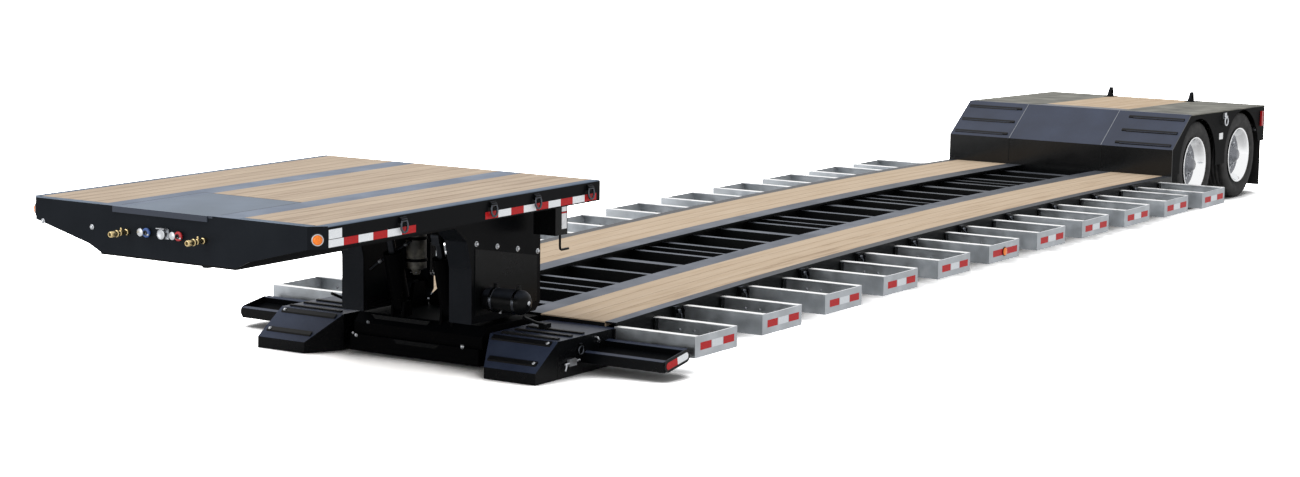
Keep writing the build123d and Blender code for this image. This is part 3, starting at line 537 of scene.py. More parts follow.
@dataclass(frozen=True)
class StudioFloor(Finish):
    """White paper floor. The camera sees it lit more strongly than it lights the trailer, so
    that only the deep shadow close to the trailer stays."""

    seen_gain: float = 4.0
    contact_reach: float = 0.45
    contrast: float = 1.7
    darkest: float = 0.5
    tooth_mm: float = 30.0

    def surface(self, on: Coat) -> None:
        """Set the shade that the camera sees, darker close under the trailer, and the paper's
        tooth.

        Args:
            on: the material's nodes.
        """
        path = add_node(on.tree, "LightPath")
        near = add_node(on.tree, "AmbientOcclusion", {"Distance": self.contact_reach},
                        {"samples": 12})
        shade = on.weighted([(near.outputs["AO"], self.seen_gain * self.contrast)],
                            self.seen_gain * (1.0 - self.contrast))
        kept = add_node(on.tree, "Math", {0: shade, 1: self.darkest}, {"operation": "MAXIMUM"})
        seen = add_node(on.tree, "Mix", {
            "Factor": path.outputs["Is Camera Ray"], "A": linear(self.colour),
            "B": kept.outputs[0]}, {"data_type": "RGBA"})
        on.show("Base Color", seen.outputs["Result"])
        on.emboss(on.lumps(self.tooth_mm, detail=2.0), depth_mm=0.1, strength=0.1)


# gloss black of the fittings: sharp, dark reflections, with a faint dark film of dust and painted
# sheen on what looks up
ENAMEL = SprayedEnamel("sprayed_black_enamel", "#0B0C0D", 0.28, ior=1.22, specular=0.35)
# dulled by road spray near the wheels: black without a gleam
ENAMEL_DULL = SprayedEnamel("sprayed_enamel_road_dulled", "#08090A", 0.6, ior=1.12,
                            film="#15171B", film_pale="#1E2126", film_roughness=0.6)
# the neck's top: a pale blue-grey film of dust and painted sheen over gloss black sides, and a
# little of it on faces that look ahead as painted highlight
ENAMEL_TOP = SprayedEnamel("sprayed_enamel_neck_top_dust_and_sheen", "#0E0F11", 0.3, ior=1.15,
                           specular=0.25, film="#606C7C", film_pale="#768292",
                           film_roughness=0.55, film_above=0.9, sheen_ahead=0.045)
# the swan-neck beams: a paler film of dust and painted sheen on top, and a soft gleam on the
# risers, painted as a share of the film on faces that look ahead
ENAMEL_BEAM = SprayedEnamel("sprayed_enamel_neck_beam", "#0C0D0F", 0.32, ior=1.18,
                            specular=0.18, film="#717A89", film_pale="#8A93A2",
                            film_roughness=0.55, film_above=0.9, sheen_ahead=0.045)
# strips between the deck's boards: a grey film of dust and painted sheen on top, fainter further
# back
ENAMEL_DECK = SprayedEnamel("sprayed_enamel_deck_strip", "#090A0B", 0.34, ior=1.22,
                            film="#5B6069", film_pale="#777B84", film_roughness=0.6,
                            film_behind=0.45, fade_from=-0.5, fade_to=-4.5)
# side rails: as the strips, but soon black behind the ramps
ENAMEL_RAIL = SprayedEnamel("sprayed_enamel_side_rail", "#090A0B", 0.34, ior=1.22,
                            film="#5B606A", film_pale="#757A84", film_roughness=0.6,
                            film_behind=0.22)
# the nose's lip plate: satin, steel blue all over as a painted sheen, for the light that its
# tilted face catches
ENAMEL_LIP = SprayedEnamel("sprayed_enamel_lip_plate", "#353A45", 0.3, ior=1.3,
                           film="#5E6A79", film_pale="#6F7B8B", film_roughness=0.5)
# the slope ahead of the wheels: the deepest gloss, with a navy cast that is a film of dust and
# painted sheen on what looks up
ENAMEL_SLOPE = SprayedEnamel("sprayed_enamel_slope", "#08090A", 0.18, ior=1.38,
                             film="#1A2338", film_pale="#252F45", film_roughness=0.38)
# the loading ramps: glossy navy black, the navy a film of dust and painted sheen on what looks up
ENAMEL_RAMP = SprayedEnamel("sprayed_enamel_ramp", "#08090B", 0.28, ior=1.25, specular=0.3,
                            film="#2A3143", film_pale="#373F51", film_roughness=0.38)
# near-black painted shade for parts in the neck's shade, in hollows and in pans: matt, nearly no
# light comes back
ENAMEL_PAINTED_SHADE = SprayedEnamel("enamel_painted_shade", "#050506", 0.5, ior=1.12,
                              specular=0.2, film="#050608", film_pale="#08090B",
                              film_roughness=0.6)
# matt black for dark lines: on the grip bars a painted shade for their shadowed sides, and on
# seams, a crease and the boards' front ends
ENAMEL_SHADE_AND_SEAMS = SprayedEnamel("enamel_painted_shade_and_seams", "#050506", 0.45, ior=1.25,
                            film="#08090A", film_pale="#101114", film_roughness=0.5)
# bleached grey-tan planks, greyer on the neck and warmer at the rear
OAK_DECK = SawnOak("sawn_oak_deck", "#BBA68D", 0.8, ior=1.35, plank_mm=147.55,
                   first_edge_mm=610.4)
OAK_NECK = SawnOak("sawn_oak_neck", "#AF9D8A", 0.8, ior=1.35, plank_mm=124.0,
                   first_edge_mm=605.4)
OAK_REAR = SawnOak("sawn_oak_rear", "#B8A185", 0.8, ior=1.35, plank_mm=161.0)
# outriggers: mid grey metal with fine lines, and flanges nearly white as a painted highlight
ALUMINIUM = MilledAluminium("milled_aluminium", "#AEB3B8", 0.38, 1.0)
FLANGE_ALUMINIUM = MilledAluminium("aluminium_flange_painted_highlight", "#D9DCDF", 0.45, 1.0,
                                   top_lightening="#FFFFFF")
# the rims mirror the sky, and the discs in their dish are painted darker, a painted reflection of
# the dark road and the dish's shade
WHEEL_ALUMINIUM = PolishedAluminium("polished_wheel_aluminium", "#F6F7F8", 0.12, 1.0)
DISC_ALUMINIUM = PolishedAluminium("forged_wheel_disc", "#787A7F", 0.2, 1.0)
# tyres are charcoal and matt; flaps, hoses and seals are darker, with less dust
TYRE_RUBBER = MouldedRubber("moulded_tyre_rubber", "#222223", 0.78, ior=1.4)
FLAP_RUBBER = MouldedRubber("moulded_flap_rubber", "#121213", 0.65, ior=1.35, dust="#1E1E1D")
# the rear deck is khaki grey and mottled; the oil tank is black with tan dust
TREAD_PLATE = WornTreadPlate("worn_tread_plate", "#6C6B63", 0.66, ior=1.35)
DUSTY_TANK = WornTreadPlate("dusty_painted_tank", "#34332F", 0.55, ior=1.4, bare="#75736B",
                            rim="#101010", patch_mm=90.0)
# tape: flat, saturated red and cool white, crisp at the edges
TAPE_RED = PrismaticTape("prismatic_tape_red", "#B6070E", 0.45, ior=1.22, net="#9A070C")
TAPE_WHITE = PrismaticTape("prismatic_tape_white", "#DCE0E4", 0.4, ior=1.35, net="#F0F2F4")
WORN_WHITE = PrismaticTape("prismatic_tape_worn_white", "#C9CED3", 0.45, ior=1.35,
                           net="#DADEE2")
# lamps: bright orange at the sides, deep red at the tail
AMBER_LENS = MouldedLens("amber_lens", "#F07A08", 0.26, ior=1.4)
RED_LENS = MouldedLens("red_lens", "#A80F16", 0.26, ior=1.4)
# fittings: warm brass, bright zinc, plain steel, oiled chrome rods, and rods in the neck's shade
# painted darker as painted shade
BRASS = MachinedMetal("machined_brass", "#D2BD8C", 0.26, 1.0)
ZINC = MachinedMetal("zinc_plated_steel", "#C4C7CB", 0.34, 1.0)
BARE_STEEL = MachinedMetal("machined_steel", "#7C7F84", 0.38, 1.0)
OILED_ROD = MachinedMetal("oiled_chromed_rod", "#4A4D53", 0.22, 1.0)
SHADED_ROD = MachinedMetal("rod_darkened_painted_shade", "#292B2F", 0.35, 1.0)
# painted castings of the air couplings: satin blue and satin red
BLUE_CASTING = MachinedMetal("painted_blue_casting", "#33518A", 0.38, ior=1.45)
RED_CASTING = MachinedMetal("painted_red_casting", "#A8262B", 0.38, ior=1.45)
# blank plates: plain satin white
PLATE_WHITE = PrintedPlate("printed_white_plate", "#DCDEE0", 0.45)
# the studio's paper: white, without a gleam
FLOOR = StudioFloor("studio_floor", "#F5F5F5", 0.95, specular=0.0)


# ------ mesh work
@dataclass
class MeshWork:
    """Collects the faces of one piece, each with the number of its finish."""

    name: str
    finishes: list[Finish]
    points: list[Vector] = field(default_factory=list)
    faces: list[tuple[list[int], int, bool]] = field(default_factory=list)

    def add(self, points: Iterable[Spot], faces: Iterable[Sequence[int]],
            finish: Finish, smooth: bool = False) -> None:
        """Add points and the faces between them.

        Args:
            points: corner points in metres.
            faces: corner numbers of each face, from zero within these points.
            finish: what the faces are made of.
            smooth: whether the faces shade as one curved surface.
        """
        base = len(self.points)
        if finish not in self.finishes:
            self.finishes.append(finish)
        mark = self.finishes.index(finish)
        self.points += [Vector(p) for p in points]
        self.faces += [([base + i for i in face], mark, smooth) for face in faces]

    def box(self, low: Spot, high: Spot, finish: Finish) -> None:
        """Add a rectangular block between two corners.

        Args:
            low: one corner.
            high: the opposite corner.
            finish: what the block is made of.
        """
        (x0, y0, z0), (x1, y1, z1) = (tuple(map(f, low, high)) for f in (min, max))
        points = [(x0, y0, z0), (x1, y0, z0), (x1, y1, z0), (x0, y1, z0),
                  (x0, y0, z1), (x1, y0, z1), (x1, y1, z1), (x0, y1, z1)]
        faces = [(3, 2, 1, 0), (4, 5, 6, 7), (0, 1, 5, 4), (1, 2, 6, 5), (2, 3, 7, 6),
                 (3, 0, 4, 7)]
        self.add(points, faces, finish)

    def prism(self, corners: Sequence[Spot], run: Spot, finish: Finish,
              smooth: bool = False) -> None:
        """Add an outline carried along a run.

        Args:
            corners: the outline's points in space.
            run: vector from the outline to its far copy.
            finish: what the faces are made of.
            smooth: whether the sides shade as one curved surface.
        """
        near = [Vector(c) for c in corners]
        count = len(near)
        points = near + [p + Vector(run) for p in near]
        sides = [(i, (i + 1) % count, count + (i + 1) % count, count + i) for i in range(count)]
        self.add(points, sides, finish, smooth)
        self.add(points, [tuple(reversed(range(count))), tuple(range(count, 2 * count))], finish)

    def side_plate(self, x: Span, y: float, z: Span, thick: float, finish: Finish) -> None:
        """Add an upright plate that runs along the trailer."""
        self.prism([(x[0], y, z[0]), (x[1], y, z[0]), (x[1], y, z[1]), (x[0], y, z[1])],
                   (0, thick, 0), finish)

    def cross_plate(self, x: float, y: Span, z: Span, thick: float, finish: Finish) -> None:
        """Add an upright plate that runs across the trailer."""
        self.prism([(x, y[0], z[0]), (x, y[1], z[0]), (x, y[1], z[1]), (x, y[0], z[1])],
                   (thick, 0, 0), finish)

    def level_plate(self, x: Span, y: Span, z: float, thick: float, finish: Finish) -> None:
        """Add a level plate."""
        self.prism([(x[0], y[0], z), (x[1], y[0], z), (x[1], y[1], z), (x[0], y[1], z)],
                   (0, 0, thick), finish)

    def turned(self, profile: Outline, centre: Spot, axis: Spot, finish: Finish,
               segments: int = 48,
               wave: Callable[[float, float, int], float] | None = None) -> None:
        """Add a profile turned round an axis.

        Args:
            profile: (radius, distance along the axis) points.
            centre: point on the axis.
            axis: direction of the axis.
            finish: what the faces are made of.
            segments: steps round the axis.
            wave: gives each point's radius from (radius, distance along, step).
        """
        along = Vector(axis).normalized()
        side = along.orthogonal().normalized()
        up = along.cross(side)
        points: list[Vector] = []
        for step in range(segments):
            angle = 2 * math.pi * step / segments
            ray = side * math.cos(angle) + up * math.sin(angle)
            for radius, distance in profile:
                reach = wave(radius, distance, step) if wave else radius
                points.append(Vector(centre) + ray * reach + along * distance)
        count = len(profile)
        faces = []
        for step in range(segments):
            here, after = step * count, (step + 1) % segments * count
            faces += [(here + i, here + i + 1, after + i + 1, after + i) for i in range(count - 1)]
        self.add(points, faces, finish, True)

    def stack(self, rings: Sequence[tuple[Outline, Finish, int]], centre: Spot,
              axis: Spot) -> None:
        """Add several turned profiles on one axis, each with its finish and its steps."""
        for profile, finish, segments in rings:
            self.turned(profile, centre, axis, finish, segments)

    def rod(self, start: Spot, end: Spot, radius: float, finish: Finish,
            segments: int = 20) -> None:
        """Add a round bar with a small chamfer at each end.

        Args:
            start: middle of one end.
            end: middle of the other end.
            radius: radius of the bar.
            finish: what the bar is made of.
            segments: steps round the bar.
        """
        run = Vector(end) - Vector(start)
        edge = min(radius * 0.25, run.length * 0.2)
        self.turned([(0, 0), (radius - edge, 0), (radius, edge), (radius, run.length - edge),
                     (radius - edge, run.length), (0, run.length)], start, run, finish, segments)

    def bolt(self, seat: Spot, axis: Spot, radius: float,
             finish: Finish) -> None:
        """Add a washer with a six-sided head on a surface.

        Args:
            seat: middle of the washer's underside.
            axis: direction of the bolt.
            radius: radius of the head.
            finish: what the bolt is made of.
        """
        wide, thick, tall = radius * 1.5, radius * 0.2, radius * 0.95
        washer = [(0, 0), (wide, 0), (wide, thick), (0, thick)]
        head = [(0, 0), (radius, 0), (radius, radius * 0.75), (radius * 0.8, tall),
                (0, tall)]
        self.stack([(washer, finish, 20), (head, finish, 6)], seat, axis)

    def bent_rod(self, path: Sequence[Spot], radius: float, finish: Finish,
                 sides: int = 12, closed: bool = False) -> None:
        """Add a round bar that follows a path of points.

        Args:
            path: points along the middle of the bar.
            radius: radius of the bar.
            finish: what the bar is made of.
            sides: steps round the bar.
            closed: whether the path returns to its start.
        """
        spots = [Vector(p) for p in path]
        count = len(spots)
        across = (spots[1] - spots[0]).orthogonal().normalized()
        points: list[Vector] = []
        for i, spot in enumerate(spots):
            before = spots[i - 1] if i or closed else spot
            after = spots[(i + 1) % count] if i + 1 < count or closed else spot
            along = (after - before).normalized()
            across = (across - along * across.dot(along)).normalized()
            up = along.cross(across)
            for side in range(sides):
                angle = 2 * math.pi * side / sides
                points.append(spot + (across * math.cos(angle) + up * math.sin(angle)) * radius)
        faces = []
        for i in range(count if closed else count - 1):
            j = (i + 1) % count
            here, there = i * sides, j * sides
            for side in range(sides):
                after = (side + 1) % sides
                faces.append((here + side, here + after, there + after, there + side))
        self.add(points, faces, finish, True)
        if not closed:
            last = (count - 1) * sides
            ends = [tuple(reversed(range(sides))), tuple(range(last, last + sides))]
            self.add(points, ends, finish)

    def finish(self, body: Body | str, slot: str | None = None,
               bevel_mm: float = 0.0) -> bpy.types.Object:
        """Make the object, set its finishes and put it on its body.

        Args:
            body: the body that it rides on.
            slot: the record's material slot; not used.
            bevel_mm: width of the rounded edge, or none at zero.

        Returns:
            The finished piece.
        """
        mesh = bpy.data.meshes.new(self.name)
        mesh.from_pydata([tuple(p) for p in self.points], [], [f for f, _, _ in self.faces])
        for finish in self.finishes:
            mesh.materials.append(finish.material())
        for polygon, (_, mark, smooth) in zip(mesh.polygons, self.faces):
            polygon.material_index = mark
            polygon.use_smooth = smooth
        shaped = bmesh.new()
        shaped.from_mesh(mesh)
        bmesh.ops.recalc_face_normals(shaped, faces=shaped.faces)
        shaped.to_mesh(mesh)
        shaped.free()
        piece = bpy.data.objects.new(self.name, mesh)
        bpy.context.scene.collection.objects.link(piece)
        if bevel_mm:
            bevel = piece.modifiers.new("edge", "BEVEL")
            bevel.width = bevel_mm * MM
            bevel.segments = 2
            bevel.limit_method = "ANGLE"
            bevel.angle_limit = math.radians(40)
        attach(piece, body.value if isinstance(body, Body) else body)
        log.info("%s: %d faces on %s", self.name, len(mesh.polygons), body)
        return piece


# ------ the trailer's own frame
@dataclass(frozen=True)
class Layout:
    """Places that several sub-assemblies share, in metres."""

    nose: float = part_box("neck_frame")[1].x
    half_width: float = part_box("neck_frame")[1].y
    neck_top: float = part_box("neck_frame")[1].z
    rail_foot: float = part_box("neck_frame")[1].z - 0.15
    outrigger_tip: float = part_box("outriggers")[1].y
    tail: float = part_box("rear_deck_plates")[0].x

    def x(self, behind: float) -> float:
        """Return X of a point this far behind the nose."""
        return self.nose - behind


LAYOUT = Layout()


def at(behind: float, y: float, z: float) -> Point:
    """Return a point from its distance behind the nose."""
    return LAYOUT.x(behind), y, z


def ring_points(middle: Spot, radius: float, start: float = math.pi / 2,
                steps: int = 24) -> list[Vector]:
    """Return points on an upright circle that lies along the trailer.

    Args:
        middle: the circle's middle.
        radius: its radius.
        start: angle of the first point, from +X towards +Z.
        steps: number of points.

    Returns:
        The points in order.
    """
    turns = (start + 2 * math.pi * i / steps for i in range(steps))
    return [Vector((middle[0] + radius * math.cos(turn), middle[1],
                    middle[2] + radius * math.sin(turn))) for turn in turns]


def tape_run(work: MeshWork, start: Spot, end: Spot, out: Spot,
             width: float, patch: float, first_red: bool) -> None:
    """Lay marking tape from start to end in alternate red and white patches.

    Args:
        work: the piece that takes the tape.
        start: upper front corner.
        end: upper rear corner.
        out: direction away from the surface.
        width: width of the tape.
        patch: length of one colour.
        first_red: whether the first patch is red.
    """
    thickness = 0.0012
    start, end, down = Vector(start), Vector(end), Vector((0, 0, -width))
    run = end - start
    count = max(1, round(run.length / patch))
    for i in range(count):
        a = start + run * (i / count)
        b = start + run * ((i + 1) / count)
        finish = TAPE_RED if (i % 2 == 0) == first_red else TAPE_WHITE
        work.prism([a, b, b + down, a + down], Vector(out) * thickness, finish)


def grip_cap(work: MeshWork, place: float, height: Callable[[float], float], side: Side,
             ends: Span, half: float = 0.015) -> None:
    """Cap a raised grip bar of the frame with a thin black skin, a painted shade for the bar's
    shadowed sides.

    Args:
        work: the piece that takes the cap.
        place: distance of the bar's middle behind the nose.
        height: gives the height of the surface under the bar.
        side: side of the trailer.
        ends: the bar's inner and outer end, from the middle of the trailer.
        half: half of the cap's width.
    """
    rise, skin, sunk = 0.012, 0.0012, 0.0005
    front, rear = place - half - skin, place + half + skin
    y0, y1 = side * (ends[0] - skin), side * (ends[1] + skin)
    work.prism([at(front, y0, height(front) - sunk), at(rear, y0, height(rear) - sunk),
                at(rear, y0, height(rear) + rise + skin),
                at(front, y0, height(front) + rise + skin)], (0, y1 - y0, 0), ENAMEL_SHADE_AND_SEAMS)


# ------ wheels
@dataclass
class TwinWheel:
    """A pair of tyres on their deep-dish wheels at one end of an axle."""

    place: str
    tread_ribs: int = 5
    groove_depth: float = 0.013
    groove_width: float = 0.012
    crown_fall: float = 0.004
    shoulder_radius: float = 0.04
    shoulder_share: float = 0.55
    notch_every: int = 3
    notch_depth: float = 0.007
    segments: int = 144
    dual_spacing: float = 0.33
    stud_count: int = 10
    stud_circle: float = 0.1428
    hand_holes: int = 10
    hand_hole_circle: float = 0.192
    lip_inset: float = 0.004
    disc_depth: float = 0.128
    hub_reach: float = 0.118

    def __post_init__(self) -> None:
        """Read the wheel's place and sizes from the frame."""
        low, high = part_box(f"{self.place}_tyres")
        self.centre = (low + high) / 2
        self.radius = (high.z - low.z) / 2
        self.sign = Side.LEFT if "left" in self.place else Side.RIGHT
        self.width = high.y - low.y - self.dual_spacing
        wheel_low, wheel_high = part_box(f"{self.place}_wheels")
        self.rim = (wheel_high.z - wheel_low.z) / 2
        self.body = f"wheel_{self.place}"
        self.out = Vector((0, self.sign, 0))

    def build(self) -> None:
        """Make the tyres, and the wheels with their hub."""
        self.tyres()
        self.wheels()

    def tyre_profile(self) -> list[Span]:
        """Draw the tyre's closed section, with its ribs and grooves.

        Returns:
            Points as (radius, distance across), with the tyre's middle at zero.
        """
        half, crown, bead = self.width / 2, self.radius, self.rim + 0.0004
        gap, floor = self.groove_width / 2, self.radius - self.groove_depth
        edge = -half + self.shoulder_radius * self.shoulder_share
        rib = -2 * edge / self.tread_ribs
        tread: list[Span] = [(crown - 0.01, edge - 0.01)]
        for i in range(self.tread_ribs):
            last = i == self.tread_ribs - 1
            left, right = edge + i * rib, edge + (i + 1) * rib
            low, high = left + (gap if i else 0.0), right - (0.0 if last else gap)
            fall = self.crown_fall * ((low + high) / (2 * half)) ** 2
            tread += [(crown - fall, low), (crown - fall, high)]
            if not last:
                tread += [(floor, high + 0.001), (floor, right + gap - 0.001)]
        tread.append((crown - 0.01, -edge + 0.01))
        wall = [(crown - 0.03, half - 0.004), (crown - 0.055, half - 0.001),
                (crown - 0.085, half), (crown - 0.11, half - 0.003),
                (bead + 0.045, half - 0.016), (bead + 0.02, half - 0.024),
                (bead + 0.006, half - 0.024), (bead, half - 0.03)]
        return [(r, -d) for r, d in reversed(wall)] + tread + wall

    def tyres(self) -> None:
        """Build both tyres with ribs and notched shoulders."""
        low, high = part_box(f"{self.place}_tyres")
        work = MeshWork(f"{self.place}_tyre_pair", [TYRE_RUBBER])
        profile = self.tyre_profile()
        shoulder, shoulder_foot = self.width / 2 - self.shoulder_radius, self.radius - 0.012

        def notched(radius: float, distance: float, step: int) -> float:
            """Cut a notch into the shoulder at every few steps.

            Args:
                radius: the profile's radius at the point.
                distance: the point's distance across the tyre.
                step: the point's step round the tyre.

            Returns:
                The radius with its notch.
            """
            on_shoulder = abs(distance) > shoulder and radius > shoulder_foot
            notch = on_shoulder and step % self.notch_every == 0
            return radius - (self.notch_depth if notch else 0)

        for middle in (low.y + self.width / 2, high.y - self.width / 2):
            centre, axis = Vector((self.centre.x, middle, self.centre.z)), (0, 1, 0)
            work.turned(profile, centre, axis, TYRE_RUBBER, self.segments, notched)
            work.turned([profile[0], profile[-1]], centre, axis, TYRE_RUBBER, self.segments)
        piece = work.finish(self.body, "tyre")
        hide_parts(f"{self.place}_tyres")

    def wheels(self) -> None:
        """Build the outer wheel's rim and dish, the drum, the inner rim and the hub."""
        low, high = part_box(f"{self.place}_wheels")
        inner = low.y if self.sign > 0 else -high.y
        axle = Vector((self.centre.x, 0, self.centre.z))
        work = MeshWork(f"{self.place}_wheel_pair",
                        [WHEEL_ALUMINIUM, DISC_ALUMINIUM, BARE_STEEL, ENAMEL_PAINTED_SHADE])
        rim, lip = self.rim, self.lip()
        disc, bead = lip - self.disc_depth, self.rim - 0.0005
        outer_rim = [(bead, disc - 0.31), (bead, disc - 0.12), (rim - 0.02, disc - 0.1),
                     (rim - 0.02, disc - 0.02), (rim - 0.002, disc + 0.02),
                     (rim - 0.002, lip - 0.016), (rim + 0.004, lip - 0.013),
                     (rim + 0.009, lip - 0.009), (rim + 0.01, lip - 0.004), (rim + 0.006, lip),
                     (rim - 0.001, lip - 0.001), (rim - 0.005, lip - 0.005),
                     (rim - 0.009, lip - 0.012), (rim - 0.026, lip - 0.048),
                     (rim - 0.048, disc + 0.03), (rim - 0.054, disc + 0.022)]
        dish = [(rim - 0.054, disc + 0.022), (rim - 0.06, disc + 0.026),
                (rim - 0.07, disc + 0.024), (0.175, disc + 0.018), (0.165, disc + 0.012),
                (0.115, disc + 0.012), (0.112, disc + 0.006)]
        drum = [(0.06, inner + 0.004), (0.2, inner + 0.002), (0.206, inner + 0.008),
                (0.206, disc - 0.12), (0.06, disc - 0.122)]
        inner_rim = [(bead, inner + 0.001), (rim - 0.014, inner), (rim - 0.018, inner + 0.02),
                     (rim - 0.03, disc - 0.14), (0.1, disc - 0.13)]
        inner_seat = [(bead, inner + 0.001), (bead, disc - 0.3)]
        work.stack([(outer_rim, WHEEL_ALUMINIUM, 96), (dish, DISC_ALUMINIUM, 96),
                    (drum, BARE_STEEL, 48), (inner_rim, WHEEL_ALUMINIUM, 72),
                    (inner_seat, WHEEL_ALUMINIUM, 72)], axle, self.out)
        self.hub(work, axle, disc + 0.012, disc + self.hub_reach)
        piece = work.finish(self.body, "wheel_aluminium")
        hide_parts(f"{self.place}_wheels")

    def lip(self) -> float:
        """Find how far out the outer rim's lip stands.

        Returns:
            Its distance from the middle of the trailer.
        """
        low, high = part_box(f"{self.place}_tyres")
        return (high.y if self.sign > 0 else -low.y) - self.lip_inset

    def hub(self, work: MeshWork, axle: Vector, face: float, top: float) -> None:
        """Add the hub, its cap, the ring of studs and the hand holes, which are flat near-black
        discs of painted shade.

        Args:
            work: the wheel's mesh.
            axle: point on the axle.
            face: distance out of the disc's face.
            top: distance out of the hub cap's top.
        """
        cap = [(0.112, face - 0.004), (0.11, face + 0.02), (0.1, face + 0.03),
               (0.092, face + 0.034), (0.088, top - 0.04), (0.082, top - 0.026),
               (0.06, top - 0.022), (0.056, top - 0.006), (0.048, top - 0.001), (0, top)]
        work.turned(cap, axle, self.out, DISC_ALUMINIUM, 48)
        washer = [(0, 0), (0.0225, 0), (0.0225, 0.006), (0.019, 0.009), (0, 0.009)]
        nut = [(0.018, 0.006), (0.018, 0.03), (0.015, 0.034), (0, 0.034)]
        stud = [(0.01, 0.03), (0.01, 0.044), (0, 0.046)]
        hole = [(0, 0), (0.022, 0), (0.025, 0.0015), (0.027, 0)]
        for seat in self.round_hub(axle, self.stud_count, 0.5, self.stud_circle, face - 0.001):
            work.stack([(washer, ZINC, 16), (nut, ZINC, 6), (stud, BARE_STEEL, 12)], seat,
                       self.out)
        # painted shade: each hand hole is a flat near-black disc on the dish
        for seat in self.round_hub(axle, self.hand_holes, 0, self.hand_hole_circle,
                                   face + 0.0045):
            work.turned(hole, seat, self.out, ENAMEL_PAINTED_SHADE, 24)

    def round_hub(self, axle: Vector, count: int, offset: float, circle: float,
                  reach: float) -> Iterable[Vector]:
        """Step round a circle on the disc.

        Args:
            axle: point on the axle.
            count: number of places.
            offset: share of a step before the first place.
            circle: radius of the circle.
            reach: distance out of the places.

        Returns:
            The places in order.
        """
        for i in range(count):
            angle = 2 * math.pi * (i + offset) / count
            ray = Vector((math.cos(angle), 0, math.sin(angle)))
            yield axle + ray * circle + self.out * reach


# ------ neck
@dataclass
class Gooseneck:
    """Trim and fittings of the neck: tape, lamps, tie rings, nose fittings and control box."""

    tape_width: float = 0.05
    tape_patch: float = 0.152
    tape_lift: float = 0.01
    tape_runs: tuple[tuple[float, float, bool], ...] = ((0.1, 1.01, False), (1.79, 3.15, True))
    upper_tape: Span = (0.102, 0.235)
    upper_tape_lift: float = 0.066
    upper_tape_width: float = 0.062
    ring_places: Places = (0.861, 1.867, 2.392, 3.056)
    ring_wire: float = 0.0085
    ring_drop: Outline = ((0.026, -0.006), (0.034, -0.03), (0.034, -0.056), (0.02, -0.078),
                          (0, -0.084), (-0.02, -0.078), (-0.034, -0.056), (-0.034, -0.03),
                          (-0.026, -0.006))
    lamp_radius: float = 0.033
    lamp_inset: float = 0.048
    lamp_drop: float = 0.088
    nose_bolts: Outline = ((-1.135, 1.243), (-0.678, 1.241))
    seam_half: float = 0.004
    seam_rise: float = 0.0001
    bolt_row: Outline = ((2.62, 0.935), (3.39, 0.793))
    bolts_in_row: int = 4
    doubler_foot: Span = (0.4, 0.42)
    hose_coupler_y: Span = (-0.345, 0.335)
    air_coupler_y: Span = (-0.18, 0.105)
    socket_y: float = -0.02
    plate_rows: Outline = ((0.165, 0.045), (0.295, 0.18))
    plate_ends: Span = (0.012, 0.076)
    plate_band: float = 0.012
    levers: int = 3
    lever_pitch: float = 0.03
    line_count: int = 3
    line_pitch: float = 0.035

    def build(self) -> None:
        """Build every fitting of the neck."""
        self.marking_tape()
        self.tie_rings()
        self.nose_lamps()
        self.nose_face_bolts()
        self.lip_seam()
        self.couplings()
        self.riser_plates()
        self.control_box()
        self.pressure_lines()

    def marking_tape(self) -> None:
        """Lay tape along the lower edge of both rails, with a bare gap in the middle."""
        work = MeshWork("neck_marking_tape", [TAPE_RED, TAPE_WHITE])
        top = LAYOUT.rail_foot + self.tape_lift + self.tape_width
        upper = top + self.upper_tape_lift
        for side in Side:
            y, out = side * (LAYOUT.half_width - 0.0002), (0, side, 0)
            for start, end, first_red in self.tape_runs:
                tape_run(work, at(start, y, top), at(end, y, top), out,
                         self.tape_width, self.tape_patch, first_red)
            start, end = self.upper_tape
            tape_run(work, at(start, y, upper), at(end, y, upper), out,
                     self.upper_tape_width, self.tape_patch, False)
        work.finish(Body.NECK)

    def tie_rings(self) -> None:
        """Hang a D-ring in its forged bracket at each tie place."""
        work = MeshWork("neck_tie_rings", [ENAMEL, OILED_ROD])
        top = LAYOUT.neck_top - 0.04
        wide, narrow, pin = 0.034, 0.026, 0.03
        for out in Side:
            y = out * (LAYOUT.half_width - 0.0005)
            for place in self.ring_places:
                bracket = ((-wide, 0.02), (wide, 0.02), (narrow, -0.022), (-narrow, -0.022))
                work.prism([at(place + s, y, top + z) for s, z in bracket],
                           (0, out * 0.014, 0), ENAMEL)
                pin_y = y + out * 0.018
                work.rod(at(place - pin, pin_y, top), at(place + pin, pin_y, top),
                         0.01, ENAMEL)
                work.bent_rod([at(place + s, y + out * (0.019 - 0.06 * (z + 0.006)), top + z)
                               for s, z in self.ring_drop], self.ring_wire, OILED_ROD, closed=True)
        work.finish(Body.NECK, "black_paint", 1.5)

    def nose_lamps(self) -> None:
        """Set an amber lamp in its bright ring on each chamfered corner of the nose."""
        work = MeshWork("nose_lamps", [AMBER_LENS, FLAP_RUBBER, ZINC])
        r = self.lamp_radius
        gasket = [(0, 0), (r + 0.014, 0), (r + 0.014, 0.006), (r + 0.007, 0.009)]
        bezel = [(r + 0.007, 0.006), (r + 0.005, 0.011), (r, 0.011), (r - 0.002, 0.006)]
        lens = [(r, 0.004), (r - 0.003, 0.014), (r * 0.6, 0.019), (0, 0.02)]
        for side in Side:
            out = Vector((1.0, side, 0)).normalized()
            corner = Vector(at(self.lamp_inset, side * (LAYOUT.half_width - self.lamp_inset),
                                      LAYOUT.neck_top - self.lamp_drop))
            work.stack([(gasket, FLAP_RUBBER, 32), (bezel, ZINC, 32), (lens, AMBER_LENS, 32)],
                       corner - out * 0.004, out)
        work.finish(Body.NECK, "lamp_lens")

    def nose_face_bolts(self) -> None:
        """Set the two bright bolts on the right half of the nose's face."""
        work = MeshWork("nose_bolts", [ZINC])
        for y, z in self.nose_bolts:
            work.bolt((LAYOUT.nose, y, z), (1, 0, 0), 0.012, ZINC)
        work.finish(Body.NECK, "steel")

